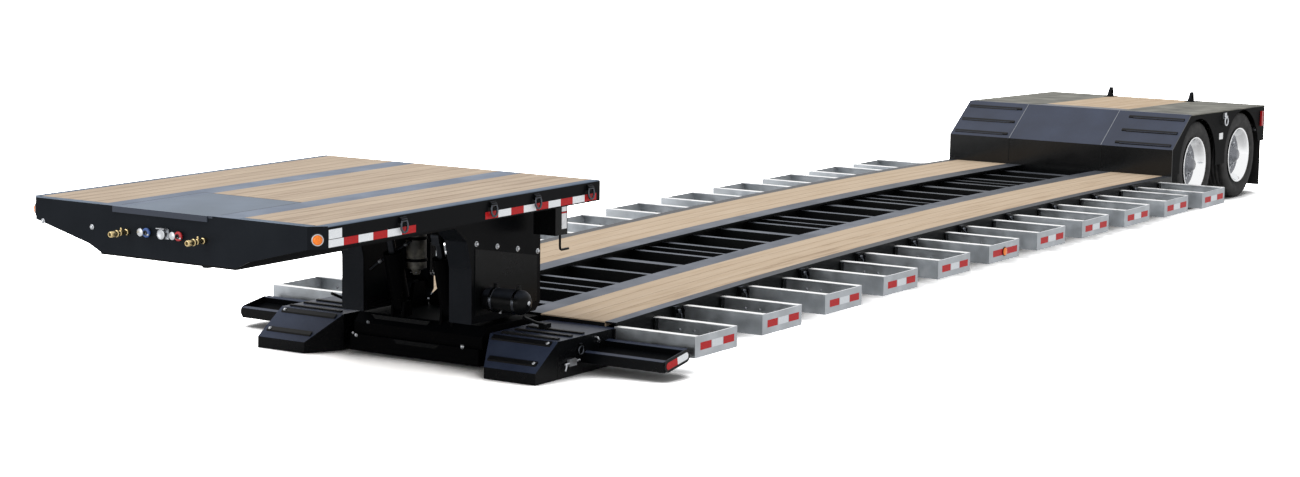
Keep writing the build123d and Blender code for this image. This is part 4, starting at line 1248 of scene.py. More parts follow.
    def lip_seam(self) -> None:
        """Line the joint between the lip plate and the boards round it with a dark seam."""
        low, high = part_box("nose_lip_plate")
        work = MeshWork("lip_seam", [ENAMEL_SHADE_AND_SEAMS])
        z, half, front = LAYOUT.neck_top, self.seam_half, LAYOUT.nose - 0.08
        for y in (low.y + half, high.y):
            work.level_plate((front, low.x - half), (y - half, y + half), z, self.seam_rise,
                             ENAMEL_SHADE_AND_SEAMS)
        work.level_plate((low.x - half, low.x + half), (low.y, high.y), z, self.seam_rise,
                         ENAMEL_SHADE_AND_SEAMS)
        work.finish(Body.NECK, "black_paint")

    def couplings(self) -> None:
        """Build the row of air, electric and hydraulic fittings on the nose."""
        work = MeshWork("nose_fittings",
                        [BRASS, ZINC, BLUE_CASTING, RED_CASTING, BARE_STEEL, FLAP_RUBBER])
        low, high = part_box("nose_couplings")
        x, z = low.x, (low.z + high.z) / 2
        for y in self.hose_coupler_y:
            self.hose_coupler(work, Vector((x, y, z)), high.x - low.x)
        for y, cap in zip(self.air_coupler_y, (BLUE_CASTING, RED_CASTING)):
            self.air_coupler(work, Vector((x, y, z + 0.012)), cap)
        self.socket(work, Vector((x, self.socket_y, z + 0.014)))
        piece = work.finish(Body.NECK, "coupling_brass", 1.0)
        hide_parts("nose_couplings")

    def socket(self, work: MeshWork, seat: Vector) -> None:
        """Add the electric socket: square flange, round shell and the edge of its lid.

        Args:
            work: the piece that takes it.
            seat: its root on the nose.
        """
        x, y, z = seat
        flange, lid = 0.034, 0.036
        work.cross_plate(x, (y - 0.04, y + 0.04), (z - flange, z + flange), 0.006, ZINC)
        work.turned([(0.034, 0.004), (0.034, 0.04), (0.029, 0.044), (0.027, 0.038), (0, 0.036)],
                    seat, (1, 0, 0), ZINC, 28)
        work.cross_plate(x + 0.012, (y - lid, y + lid), (z + lid, z + 0.041), lid, ZINC)

    def hose_coupler(self, work: MeshWork, seat: Vector, reach: float) -> None:
        """Add a long brass quick coupler: hexagon, waist, knurled sleeve and its dark mouth.

        Args:
            work: the piece that takes it.
            seat: its root on the nose.
            reach: how far it stands out.
        """
        hexagon = [(0, 0), (0.02, 0), (0.022, 0.003), (0.022, 0.026), (0.018, 0.03)]
        waist = [(0.014, 0.026), (0.014, 0.052), (0.019, 0.055), (0.019, 0.085), (0.015, 0.088),
                 (0.015, 0.096)]
        sleeve = [(0.02, 0.096), (0.024, 0.1), (0.024, 0.118), (0.02, 0.122), (0.021, 0.126),
                  (0.021, reach - 0.008), (0.017, reach - 0.001), (0.012, reach - 0.001),
                  (0.011, reach - 0.018)]
        mouth = [(0, reach - 0.019), (0.012, reach - 0.019)]
        work.stack([(hexagon, BRASS, 6), (waist, BRASS, 24), (sleeve, BRASS, 24),
                    (mouth, BARE_STEEL, 24)], seat, (1, 0, 0))
        work.rod(seat + Vector((0.07, 0, 0.012)), seat + Vector((0.07, 0, 0.036)), 0.007, BRASS)

    def air_coupler(self, work: MeshWork, seat: Vector, cap: Finish) -> None:
        """Add an air coupler: cast body on its elbow, with its coloured cap and rubber ring.

        Args:
            work: the piece that takes it.
            seat: its root on the nose.
            cap: finish of the cap.
        """
        out, upper = Vector((1.0, 0, 0)), seat + Vector((0, 0.018, 0))
        work.rod(seat - out * 0.002, seat + out * 0.022, 0.013, BARE_STEEL)
        work.turned([(0, 0.02), (0.024, 0.02), (0.027, 0.024), (0.027, 0.04), (0.022, 0.044),
                     (0, 0.044)], seat - Vector((0, 0.026, 0)), out, ZINC, 24)
        shell = [(0.01, 0.014), (0.03, 0.016), (0.032, 0.021), (0.032, 0.029), (0.026, 0.034),
                 (0.017, 0.035)]
        seal = [(0.017, 0.032), (0.017, 0.038), (0.01, 0.038), (0.009, 0.03)]
        work.stack([(shell, cap, 28), (seal, FLAP_RUBBER, 24)], upper, out)
        work.rod(seat + Vector((0.02, -0.05, -0.01)), seat + Vector((0.03, 0.046, -0.012)),
                 0.0075, ZINC)

    def riser_plates(self) -> None:
        """Lay a doubler plate on the outer face of each riser, under its row of bolts."""
        work = MeshWork("riser_doublers", [ENAMEL, ZINC])
        (front, top), (rear, foot) = self.bolt_row
        plate = ((front - 0.02, top - 0.035), (rear - 0.012, foot - 0.03),
                 (rear - 0.012, self.doubler_foot[1]), (front - 0.02, self.doubler_foot[0]))
        for side in Side:
            skin = side * (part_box("neck_beams")[1].y - 0.001)
            work.prism([at(s, skin, z) for s, z in plate], (0, side * 0.006, 0), ENAMEL)
            for i in range(self.bolts_in_row):
                share = i / (self.bolts_in_row - 1)
                work.bolt(at(front + (rear - front) * share, skin, top + (foot - top) * share),
                          (0, side, 0), 0.014, ZINC)
        work.finish(Body.NECK, "black_paint", 1.0)

    def control_box(self) -> None:
        """Add the control box's door seam, blank plates, valve bank and crank."""
        low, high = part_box("control_box")
        work = MeshWork("control_box_fittings", [ENAMEL, PLATE_WHITE, TAPE_RED, ZINC])
        ends, skin = tuple(low.x + e for e in self.plate_ends), high.y - 0.001
        for foot, top in self.plate_rows:
            band = (high.z - top, high.z - top + self.plate_band)
            work.side_plate(ends, skin, (high.z - foot, high.z - top), 0.003, PLATE_WHITE)
            work.side_plate(ends, skin, band, 0.003, TAPE_RED)
        work.box((low.x + 0.004, high.y - 0.004, low.z + 0.01),
                 (high.x - 0.004, high.y + 0.002, low.z + 0.016), ENAMEL)
        x, y, foot = (low.x + high.x) / 2 - 0.01, high.y - 0.02, low.z - 0.115
        work.bent_rod([(x, y, low.z + 0.01), (x, y, foot + 0.03), (x - 0.004, y, foot + 0.008),
                       (x - 0.02, y, foot), (x - 0.11, y, foot)], 0.009, ENAMEL)
        seat = Vector((high.x + 0.03, low.y - 0.06, high.z - 0.06))
        half = Vector((0.028, 0.045, 0.03))
        work.box(seat - half, seat + half, ZINC)
        for i in range(self.levers):
            stem = seat + Vector((0, self.lever_pitch * (i - 1), half.x))
            work.rod(stem, stem + Vector((0, 0, 0.027)), 0.007, ZINC)
        work.finish(Body.NECK, "black_paint", 1.5)

    def pressure_lines(self) -> None:
        """Clip the fixed hydraulic lines along the inside of the left riser's beam."""
        work = MeshWork("neck_lines", [FLAP_RUBBER, ZINC])
        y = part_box("neck_beams")[1].y - 0.29
        for i in range(self.line_count):
            z = LAYOUT.rail_foot - 0.06 - self.line_pitch * i
            path = ((2.4, z), (2.7, z - 0.004), (3.02, z), (3.09, z))
            work.bent_rod([at(s, y, h) for s, h in path], 0.01, FLAP_RUBBER)
            work.rod(at(3.085, y, z), at(3.115, y, z), 0.013, ZINC)
        work.finish(Body.NECK, "rubber")


# ------ lift gear
@dataclass
class LiftGear:
    """What shows between the risers: the hydraulic unit, its lines, the air tank and the
    fittings on the neck base."""

    tank_band: float = 0.006
    oil_bands: Span = (0.05, 0.215)
    tank_dome: float = 0.075
    dome_steps: int = 8
    guard_place: float = 2.865
    guard_y: Span = (0.055, 0.1)
    guard_z: Span = (0.64, 1.07)
    hose_y: Span = (0.005, 0.033)
    line_start: Point = (2.8, -0.14, 0.87)
    line_end: Point = (2.65, -0.345, 0.7)
    union_shares: Places = (0.15, 0.55, 0.9)
    base_half: float = 0.59
    pan_height: float = 0.06
    pan_ends: Span = (0.06, 0.7)
    base_step: float = 0.051
    base_bolts: tuple[Point, ...] = ((0.454, 0.153, 0.011), (-0.575, 0.15, 0.007),
                                     (-0.545, 0.135, 0.01))

    def build(self) -> None:
        """Build every fitting of the lift."""
        self.air_tank()
        self.hydraulic_unit()
        self.hanging_lines()
        self.base_pan()
        self.base_fittings()

    def air_tank(self) -> None:
        """Build the air tank with its domed ends, two straps and its drain."""
        low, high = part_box("air_tank")
        work = MeshWork("air_tank_domed", [ENAMEL, OILED_ROD, ZINC])
        centre = Vector(((low.x + high.x) / 2, low.y, (low.z + high.z) / 2))
        radius, length = (high.x - low.x) / 2, high.y - low.y
        turns = (math.pi / 2 * i / self.dome_steps for i in range(self.dome_steps + 1))
        dome = [(radius * math.cos(t), length - self.tank_dome * (1 - math.sin(t))) for t in turns]
        work.turned([(0, 0), (radius * 0.5, 0), (radius * 0.85, 0.018),
                     (radius - 0.003, 0.05), *dome], centre, (0, 1, 0), ENAMEL, 48)
        for place in (0.085, length - self.tank_dome - 0.03):
            strap = [(radius - 0.002, place), (radius, place + 0.001), (radius, place + 0.024),
                     (radius - 0.002, place + 0.025)]
            work.turned(strap, centre, (0, 1, 0), OILED_ROD, 48)
            foot = centre + Vector((0, place + 0.012, radius))
            work.box(foot - Vector((0.012, 0.014, 0.004)), foot + Vector((0.012, 0.014, 0.03)),
                     ENAMEL)
        plug = [(0, 0), (0.02, 0), (0.02, 0.006), (0, 0.006)]
        work.turned(plug, centre + Vector((0, length - 0.006, 0)), (0, 1, 0), ZINC, 6)
        drain = centre + Vector((radius * 0.55, length * 0.45, -radius * 0.8))
        work.rod(drain, drain + Vector((0.012, 0, -0.014)), 0.009, ZINC)
        piece = work.finish(Body.NECK, "black_paint", 1.0)
        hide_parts("air_tank")

    def hydraulic_unit(self) -> None:
        """Add bands, pump and elbows to the upright oil tank."""
        low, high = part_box("oil_tank")
        work = MeshWork("hydraulic_unit", [DUSTY_TANK, ENAMEL_PAINTED_SHADE, BARE_STEEL, ZINC])
        radius = (high.y - low.y) / 2
        axis, up = Vector((high.x - radius, (low.y + high.y) / 2, low.z)), (0, 0, 1)
        inner, outer = radius - 0.001, radius + self.tank_band
        for height in self.oil_bands:
            band = [(inner, height), (outer, height + 0.003), (outer, height + 0.022),
                    (inner, height + 0.025)]
            work.turned(band, axis, up, ENAMEL_PAINTED_SHADE, 40)
        pump = [(0, -0.05), (0.026, -0.05), (0.03, -0.042), (0.034, -0.018),
                (0.052, -0.014), (0.056, 0)]
        work.turned(pump, axis, up, DUSTY_TANK, 32)
        for dx, dy in ((0.03, -0.02), (0.026, 0.024)):
            spot = axis + Vector((dx, dy, -0.03))
            work.rod(spot, spot + Vector((0.016, 0, -0.006)), 0.008, BARE_STEEL)
        work.finish(Body.NECK, "dusty_steel", 1.0)

    def hanging_lines(self) -> None:
        """Add the guard bar, the upright hoses beside it and the slanting line to the far lift."""
        work = MeshWork("lift_lines", [ENAMEL, FLAP_RUBBER, SHADED_ROD, BARE_STEEL, ZINC])
        work.cross_plate(LAYOUT.x(self.guard_place), self.guard_y, self.guard_z, -0.02, ENAMEL)
        for y in self.hose_y:
            hose = ((2.88, y, 1.08), (2.872, y, 0.98), (2.868, y, 0.84),
                    (2.872, y - 0.004, 0.7), (2.89, y - 0.02, 0.64))
            work.bent_rod([at(*p) for p in hose], 0.0095, FLAP_RUBBER)
            work.rod(at(2.89, y - 0.02, 0.65), at(2.905, y - 0.03, 0.615),
                     0.012, ZINC)
        start, end = Vector(at(*self.line_start)), Vector(at(*self.line_end))
        work.bent_rod([at(2.85, -0.14, 0.905), start, end,
                       at(2.62, -0.388, 0.655)], 0.009, SHADED_ROD)
        union = [(0.012, -0.014), (0.015, -0.01), (0.015, 0.01), (0.012, 0.014)]
        for share in self.union_shares:
            work.turned(union, start.lerp(end, share), end - start, BARE_STEEL, 6)
        work.finish(Body.NECK, "rubber", 0.8)

    def base_pan(self) -> None:
        """Close the neck base with its pan and its rear plate, both in near-black painted shade.
        """
        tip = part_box("neck_base")[1].x
        work = MeshWork("neck_base_pan", [ENAMEL_PAINTED_SHADE])
        front, rear = (tip - end for end in self.pan_ends)
        work.level_plate((front, rear), (-self.base_half, self.base_half), self.pan_height, -0.006,
                         ENAMEL_PAINTED_SHADE)
        plate = ((-0.38, 0), (0.38, 0), (0.38, 0.3), (0.3, 0.37), (-0.3, 0.37),
                 (-0.38, 0.3))
        work.prism([(rear, y, self.pan_height + z) for y, z in plate], (0.01, 0, 0), ENAMEL_PAINTED_SHADE)
        work.finish(Body.NECK_BASE, "black_paint")

    def base_fittings(self) -> None:
        """Add the bolts and ledges on the front of the base."""
        work = MeshWork("neck_base_fittings", [ZINC, BARE_STEEL, ENAMEL])
        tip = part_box("neck_base")[1].x
        face, step, out = tip - 0.001, tip - self.base_step, (1, 0, 0)
        for y, z, size in self.base_bolts:
            work.bolt((face, y, z), out, size, ZINC)
        work.bolt((step, -0.47, 0.235), out, 0.01, BARE_STEEL)
        for (y0, y1), x, z in (((-0.43, 0.12), step, 0.3), ((-0.19, 0.24), face, 0.142)):
            work.prism([(x, y0, z), (x, y1, z), (x, y1 - 0.03, z - 0.03),
                        (x, y0 + 0.03, z - 0.03)], (0.004, 0, 0), ENAMEL)
        work.finish(Body.NECK_BASE, "steel")


# ------ deck
@dataclass
class MainDeck:
    """Trim of the deck: outrigger markers, brackets, side lamps, grip bars and ramp fittings."""

    outriggers: int = 11
    pitch: float = 0.955
    length: float = 0.59
    depth: float = 0.157
    drop: float = 0.04
    heights: tuple[float, float, float] = (0.312, 0.437, 0.408)
    run: float = 10.41
    red_marks: Span = (0.075, 0.395)
    white_mark: Span = (0.236, 0.15)
    mark_length: float = 0.152
    mark_height: float = 0.056
    lamp_frame: int = 5
    flange_width: float = 0.06
    flange_thickness: float = 0.004
    bracket_inset: float = 0.022
    lug_lead: float = 0.13
    web_bolts_each: int = 3
    web_bolt_pitch: float = 0.13
    frame_tilt: float = 0.164
    frame_lift: float = 0.008
    frame_rail: float = 0.05
    frame_border: float = 0.021
    arc_steps: int = 16
    ramp_knee: Span = (0.752, 0.278)
    ramp_toe: Span = (1.035, 0.085)
    ramp_inner: Span = (0.839, 0.687)
    toe_grips: Places = (0.25, 0.87)
    top_grips: Places = (0.08, 0.3, 0.5)
    ring_place: float = 2.956
    ring_height: float = 0.177
    lever_y: float = 0.9

    def __post_init__(self) -> None:
        """Read where the deck and its outriggers start."""
        self.front = LAYOUT.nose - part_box("side_rails")[1].x
        self.first = LAYOUT.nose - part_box("outriggers")[1].x

    def build(self) -> None:
        """Build every fitting of the deck."""
        self.outrigger_markers()
        self.marker_lamps()
        self.outrigger_flanges()
        self.outrigger_brackets()
        self.web_bolts()
        self.ramp_grips()
        self.ramp_fittings()
        self.front_frames()
        self.board_stops()

    def height(self, behind: float) -> float:
        """Work out the height of the deck's curved top.

        Args:
            behind: distance behind the nose.

        Returns:
            The height above the ground.
        """
        front, middle, rear = self.heights
        share = (behind - self.front) / self.run
        bow = middle - (front + rear) / 2
        return front + (rear - front) * share + 4 * bow * share * (1 - share)

    def frames(self) -> Iterable[Span]:
        """Yield the front edge and the top height of each outrigger."""
        for i in range(self.outriggers):
            start = self.first + i * self.pitch
            yield start, self.height(start + self.length / 2) - self.drop

    def outrigger_markers(self) -> None:
        """Put two red reflectors with a worn white one between on every end plate."""
        work = MeshWork("outrigger_markers", [TAPE_RED, WORN_WHITE])
        first, last = self.red_marks
        apart = [(first, self.mark_length, TAPE_RED), (last, self.mark_length, TAPE_RED),
                 (*self.white_mark, WORN_WHITE)]
        under_lamp = [(first, last + self.mark_length - first, TAPE_RED)]
        for number, (start, top) in enumerate(self.frames()):
            foot = top - self.depth / 2 - self.mark_height / 2
            for side in Side:
                for place, length, finish in under_lamp if number == self.lamp_frame else apart:
                    ends = LAYOUT.x(start + place), LAYOUT.x(start + place + length)
                    work.side_plate(ends, side * LAYOUT.outrigger_tip,
                                    (foot, foot + self.mark_height), side * 0.0008, finish)
        work.finish(Body.DECK)

    def marker_lamps(self) -> None:
        """Build the amber lamp with its rubber seat on the middle outrigger of each side."""
        low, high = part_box("marker_lamps")
        work = MeshWork("side_marker_lamps", [AMBER_LENS, FLAP_RUBBER])
        r, reach = (high.x - low.x) / 2, high.y - LAYOUT.outrigger_tip
        gasket = [(0, 0), (r, 0), (r, reach * 0.45), (r * 0.9, reach * 0.6)]
        lens = [(r * 0.9, reach * 0.4), (r * 0.84, reach * 0.8), (r * 0.5, reach * 0.97),
                (0, reach)]
        for side in Side:
            seat = Vector(((low.x + high.x) / 2, side * LAYOUT.outrigger_tip,
                           (low.z + high.z) / 2))
            work.stack([(gasket, FLAP_RUBBER, 32), (lens, AMBER_LENS, 32)], seat,
                       (0, side, 0))
        piece = work.finish(Body.DECK, "lamp_lens")
        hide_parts("marker_lamps")

    def outrigger_flanges(self) -> None:
        """Lay the broad top flange on both bars of each outrigger, in the pale flange aluminium
        that is a painted highlight.
        """
        work = MeshWork("outrigger_flanges", [FLANGE_ALUMINIUM])
        proud = 0.0005
        for start, top in self.frames():
            for side in Side:
                root = side * (LAYOUT.half_width + 0.001)
                tip = side * (LAYOUT.outrigger_tip - 0.001)
                for front in (start - proud, start + self.length - self.flange_width + proud):
                    work.box(at(front, root, top - proud),
                             at(front + self.flange_width, tip, top + self.flange_thickness),
                             FLANGE_ALUMINIUM)
        work.finish(Body.DECK, "outrigger_aluminium", 1.0)

    def outrigger_brackets(self) -> None:
        """Add the lug plates, pins and stake loops where each outrigger meets the side rail."""
        work = MeshWork("outrigger_brackets", [ENAMEL, OILED_ROD])
        for start, top in self.frames():
            for out in Side:
                y, middle = out * (LAYOUT.half_width - 0.0005), top - self.depth / 2
                for place in (start + self.bracket_inset,
                              start + self.length - self.bracket_inset):
                    work.box(at(place - 0.036, y, middle - 0.06),
                             at(place + 0.036, y + out * 0.014, middle + 0.066), ENAMEL)
                if start - self.lug_lead >= self.front:
                    self.lug(work, start - self.lug_lead, y, out)
        work.finish(Body.DECK, "black_paint", 1.0)

    def lug(self, work: MeshWork, place: float, y: float, out: int) -> None:
        """Add a lug with its pin and the stake loop that hangs from it.

        Args:
            work: the piece that takes it.
            place: distance behind the nose.
            y: the side rail's face.
            out: sign of the direction away from the rail.
        """
        high = self.height(place) - 0.01
        pin = high - 0.034
        shape = ((-0.034, high), (0.034, high), (0.022, high - 0.08), (-0.022, high - 0.08))
        loop = ((0, 0.048, pin), (0.018, 0.056, high - 0.062), (0.02, 0.056, high - 0.108))
        work.prism([at(place + s, y, z) for s, z in shape], (0, out * 0.03, 0), ENAMEL)
        work.rod(at(place, y + out * 0.026, pin), at(place, y + out * 0.056, pin),
                 0.016, OILED_ROD)
        work.bent_rod([at(place + s, y + out * o, z) for s, o, z in loop], 0.006, OILED_ROD)

    def web_bolts(self) -> None:
        """Set bright bolts on the inner face of each outrigger's rear bar."""
        work = MeshWork("outrigger_bolts", [BARE_STEEL])
        for start, top in self.frames():
            x = LAYOUT.x(start + self.length - 0.046)
            for side in Side:
                for i in range(self.web_bolts_each):
                    y = side * (LAYOUT.half_width + 0.23 + self.web_bolt_pitch * i)
                    work.bolt((x, y, top - 0.07), (1, 0, 0), 0.008, BARE_STEEL)
        work.finish(Body.DECK, "steel")

    def ramp_grips(self) -> None:
        """Cap the grip bars of both ramps in black enamel as painted shade, with a bolt at the
        outer end.
        """
        work = MeshWork("ramp_grips", [ENAMEL_SHADE_AND_SEAMS, ZINC])
        (toe_back, toe_z), (knee_back, knee_z) = self.ramp_toe, self.ramp_knee
        toe, knee = self.front - toe_back, self.front - knee_back
        fall, outer = (knee_z - toe_z) / (knee - toe), LAYOUT.half_width - 0.04
        inner_toe, inner_knee = self.ramp_inner

        def slope(place: float) -> float:
            """Return the height of the ramp's steep part."""
            return toe_z + (place - toe) * fall

        def flat(place: float) -> float:
            """Return the height of the ramp's upper part."""
            return knee_z - 0.004 * (place - knee) / (self.front - knee)

        for side in Side:
            for share in self.toe_grips:
                place = toe + share * (knee - toe)
                inner = inner_toe + share * (inner_knee - inner_toe) + 0.03
                grip_cap(work, place, slope, side, (inner, outer))
                seat = at(place - 0.004, side * (outer - 0.024), slope(place) + 0.0135)
                work.bolt(seat, (fall, 0, 1), 0.009, ZINC)
            for share in self.top_grips:
                grip_cap(work, knee + share * (self.front - knee), flat, side,
                         (inner_knee + 0.07, outer))
        work.finish(Body.DECK, "black_paint")

    def ramp_fittings(self) -> None:
        """Add latch, ring and lever to the outer side of each front ramp."""
        work = MeshWork("ramp_fittings", [ZINC, ENAMEL, OILED_ROD])
        latch = ((2.76, 0.018, 0.101), (2.75, 0.022, 0.075), (2.735, 0.024, 0.055))
        hook = ((3.15, 0, 0.246), (3.15, 0.024, 0.246), (3.158, 0.03, 0.226),
                (3.17, 0.024, 0.206), (3.176, 0.004, 0.206))
        lever = ((2.8, 0.4), (2.95, 0.34), (3.06, 0.312))
        for out in Side:
            y = out * LAYOUT.half_width
            work.box(at(2.79, y, 0.08), at(2.88, y + out * 0.026, 0.13), ZINC)
            work.rod(at(2.74, y + out * 0.018, 0.1),
                     at(2.93, y + out * 0.018, 0.112), 0.008, ZINC)
            work.bent_rod([at(s, y + out * o, z) for s, o, z in latch], 0.007, ZINC)
            ring = at(self.ring_place, y + out * 0.01, self.ring_height)
            work.bent_rod(ring_points(ring, 0.03), 0.007, OILED_ROD, closed=True)
            work.bent_rod([at(s, y + out * o, z) for s, o, z in hook], 0.007, ZINC)
            work.box(at(2.94, y, 0.196), at(2.972, y + out * 0.016, 0.226), ENAMEL)
            work.box(at(2.67, y, 0.004), at(2.678, y + out * 0.0015, 0.27), ENAMEL)
            lever_y = out * self.lever_y
            work.bent_rod([at(s, lever_y, z) for s, z in lever], 0.012, ENAMEL)
            work.box(at(3.03, lever_y - 0.03, 0.285), at(3.11, lever_y + 0.03, 0.318),
                     ENAMEL)
        work.finish(Body.DECK, "black_paint", 1.0)

    def front_frames(self) -> None:
        """Build the slotted frame on each ramp: two round-edged bars, their pan and the
        round-ended plate in half red, half white tape. It follows the ramp's slope."""
        low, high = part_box("front_frames")
        work = MeshWork("front_frames_sloped",
                        [ENAMEL, ENAMEL_RAMP, ENAMEL_PAINTED_SHADE, TAPE_RED, TAPE_WHITE])
        middle = Vector(((low.x + high.x) / 2, 0, (low.z + high.z) / 2 + self.frame_lift))
        along = Vector((-math.cos(self.frame_tilt), 0, math.sin(self.frame_tilt)))
        upward = Vector((math.sin(self.frame_tilt), 0, math.cos(self.frame_tilt)))
        half, radius = (high.x - low.x) / 2, (high.z - low.z) / 2
        inner, tall, small = half - self.frame_rail, radius - 0.006, radius - self.frame_border
        turns = [math.pi * i / self.arc_steps for i in range(self.arc_steps + 1)]

        def spot(run: float, rise: float, y: float) -> Vector:
            """Return a point from its place along and above the frame's middle."""
            return middle + along * run + upward * rise + Vector((0, y, 0))

        def bar(near: float, far: float, foot: float, top: float, finish: Finish) -> None:
            """Add a bar that runs across, from its near and far edge, foot and top."""
            work.prism([spot(near, foot, root), spot(far, foot, root), spot(far, top, root),
                        spot(near, top, root)], (0, tip - root, 0), finish)

        for side in Side:
            root, tip = side * LAYOUT.half_width, side * (high.y - 0.012)
            for run in (-half, inner):
                bar(run, run + self.frame_rail, -tall, tall, ENAMEL_RAMP)
            # the pan between the bars in near-black painted shade
            bar(-inner, inner, -0.012, -0.002, ENAMEL_PAINTED_SHADE)
            plate = [spot(end * (half - radius + radius * math.sin(a)),
                          -end * radius * math.cos(a), tip) for end in (1, -1) for a in turns]
            work.prism(plate, (0, side * 0.011, 0), ENAMEL)
            face = side * (high.y - 0.001)
            for finish, end in ((TAPE_RED, -1), (TAPE_WHITE, 1)):
                arc = [spot(end * (half - radius + small * math.sin(a)), -small * math.cos(a),
                            face) for a in turns]
                work.prism([spot(0, -small, face), *arc, spot(0, small, face)],
                           (0, side * 0.0009, 0), finish)
        piece = work.finish(Body.DECK, "black_paint", 3.0)
        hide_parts("front_frames")

    def board_stops(self) -> None:
        """Close the front end of the deck's boards with a dark strip below their top edge."""
        low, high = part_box("deck_boards")
        work = MeshWork("board_stops", [ENAMEL_SHADE_AND_SEAMS])
        top = self.height(LAYOUT.nose - high.x) - 0.009
        for side in Side:
            work.cross_plate(high.x, (side * 0.612, side * (high.y - 0.002)),
                             (low.z, top), 0.0015, ENAMEL_SHADE_AND_SEAMS)
        work.finish(Body.DECK, "black_paint")


# ------ rear deck
@dataclass
class RearDeck:
    """Trim of the rear deck: seams and grip bars of the slope, lamps, ring and plates."""

    seams: Span = (-0.585, 0.485)
    slope_foot: float = 0.686
    slope_top: float = 1.018
    slope_run: float = 0.468
    crease_foot: float = 0.44
    grip_shares: Places = (0.1, 0.45, 0.83)
    grip_inner: float = 0.63
    grip_half: float = 0.009
    ring_place: float = 15.234
    blank_plate: tuple[Span, Span] = ((15.112, 15.212), (0.69, 0.758))
    marker_size: Span = (0.043, 0.165)
    marker_place: float = 16.298
    marker_foot: float = 0.745
    tail_lamp_y: Places = (0.62, 0.82, 1.02)
    tail_lamp_height: float = 0.88
    flap_bolt_count: int = 5

    def build(self) -> None:
        """Build every fitting of the rear deck."""
        self.slope_seams()
        self.slope_grips()
        self.side_fittings()
        self.tail_lamps()
        self.flap_bolts()

    def slope_seams(self) -> None:
        """Run a pale weld seam up the slope beside the middle panel, and a crease below it."""
        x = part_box("rear_cover")[1].x
        work = MeshWork("slope_seams", [BARE_STEEL, ENAMEL_SHADE_AND_SEAMS])
        top_x, foot, top = x - self.slope_run, self.slope_foot, self.slope_top
        for y in self.seams:
            work.cross_plate(x + 0.0002, (y - 0.004, y + 0.004), (self.crease_foot, foot), 0.0014,
                             ENAMEL_SHADE_AND_SEAMS)
            work.prism([(x, y - 0.003, foot), (x, y + 0.003, foot), (top_x, y + 0.003, top),
                        (top_x, y - 0.003, top)], (0.0008, 0, 0.0012), BARE_STEEL)
        work.finish(Body.DECK, "black_paint")

    def slope_grips(self) -> None:
        """Cap the grip bars on both sides of the slope in black enamel as painted shade."""
        work = MeshWork("slope_grips", [ENAMEL_SHADE_AND_SEAMS])
        foot = LAYOUT.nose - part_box("rear_cover")[1].x
        rise = (self.slope_top - self.slope_foot) / self.slope_run
        for side in Side:
            for share in self.grip_shares:
                grip_cap(work, foot + share * self.slope_run,
                         lambda place: self.slope_foot + (place - foot) * rise, side,
                         (self.grip_inner, LAYOUT.half_width - 0.04), self.grip_half)
        work.finish(Body.DECK, "black_paint")

    def side_fittings(self) -> None:
        """Add the ring with its bracket and the blank plate between the wheels."""
        work = MeshWork("rear_side_fittings", [ZINC, PLATE_WHITE])
        place, (ends, heights) = self.ring_place, self.blank_plate
        for out in Side:
            y = out * (LAYOUT.half_width - 0.002)
            work.box(at(place - 0.029, y, 0.905),
                     at(place + 0.028, y + out * 0.022, 0.972), ZINC)
            work.rod(at(place - 0.034, y + out * 0.026, 0.93),
                     at(place + 0.034, y + out * 0.026, 0.93), 0.01, ZINC)
            work.bent_rod(ring_points(at(place, y + out * 0.03, 0.88), 0.042), 0.009, ZINC,
                          closed=True)
            work.side_plate(tuple(LAYOUT.x(end) for end in ends), y, heights, out * 0.005,
                            PLATE_WHITE)
        work.finish(Body.DECK, "steel")

    def tail_lamps(self) -> None:
        """Set the red side marker and the row of tail lamps in the rear plate."""
        work = MeshWork("tail_lamps", [RED_LENS, FLAP_RUBBER])
        wide, tall = self.marker_size
        gasket = [(0, -0.006), (0.062, -0.006), (0.062, 0), (0.054, 0.001)]
        lens = [(0.054, -0.004), (0.05, 0.0006), (0, 0.0012)]
        for side in Side:
            y = side * (LAYOUT.half_width - 0.004)
            work.box(at(self.marker_place, y, self.marker_foot),
                     at(self.marker_place + wide, y + side * 0.026,
                               self.marker_foot + tall), RED_LENS)
            for place in self.tail_lamp_y:
                work.stack([(gasket, FLAP_RUBBER, 32), (lens, RED_LENS, 32)],
                           (LAYOUT.tail + 0.0015, side * place, self.tail_lamp_height),
                           (-1, 0, 0))
        work.finish(Body.DECK)

    def flap_bolts(self) -> None:
        """Clamp each mud flap under a strip with bolts."""
        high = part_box("mud_flaps")[1]
        work = MeshWork("flap_clamps", [BARE_STEEL, ZINC])
        for side in Side:
            inner, outer = side * (high.y - 0.56), side * (high.y - 0.01)
            work.box((high.x, inner, high.z - 0.09), (high.x + 0.006, outer, high.z - 0.05),
                     BARE_STEEL)
            for i in range(self.flap_bolt_count):
                y = inner + (outer - inner) * (i + 0.5) / self.flap_bolt_count
                work.bolt((high.x + 0.005, y, high.z - 0.07), (1, 0, 0), 0.008, ZINC)
        work.finish(Body.DECK, "steel")


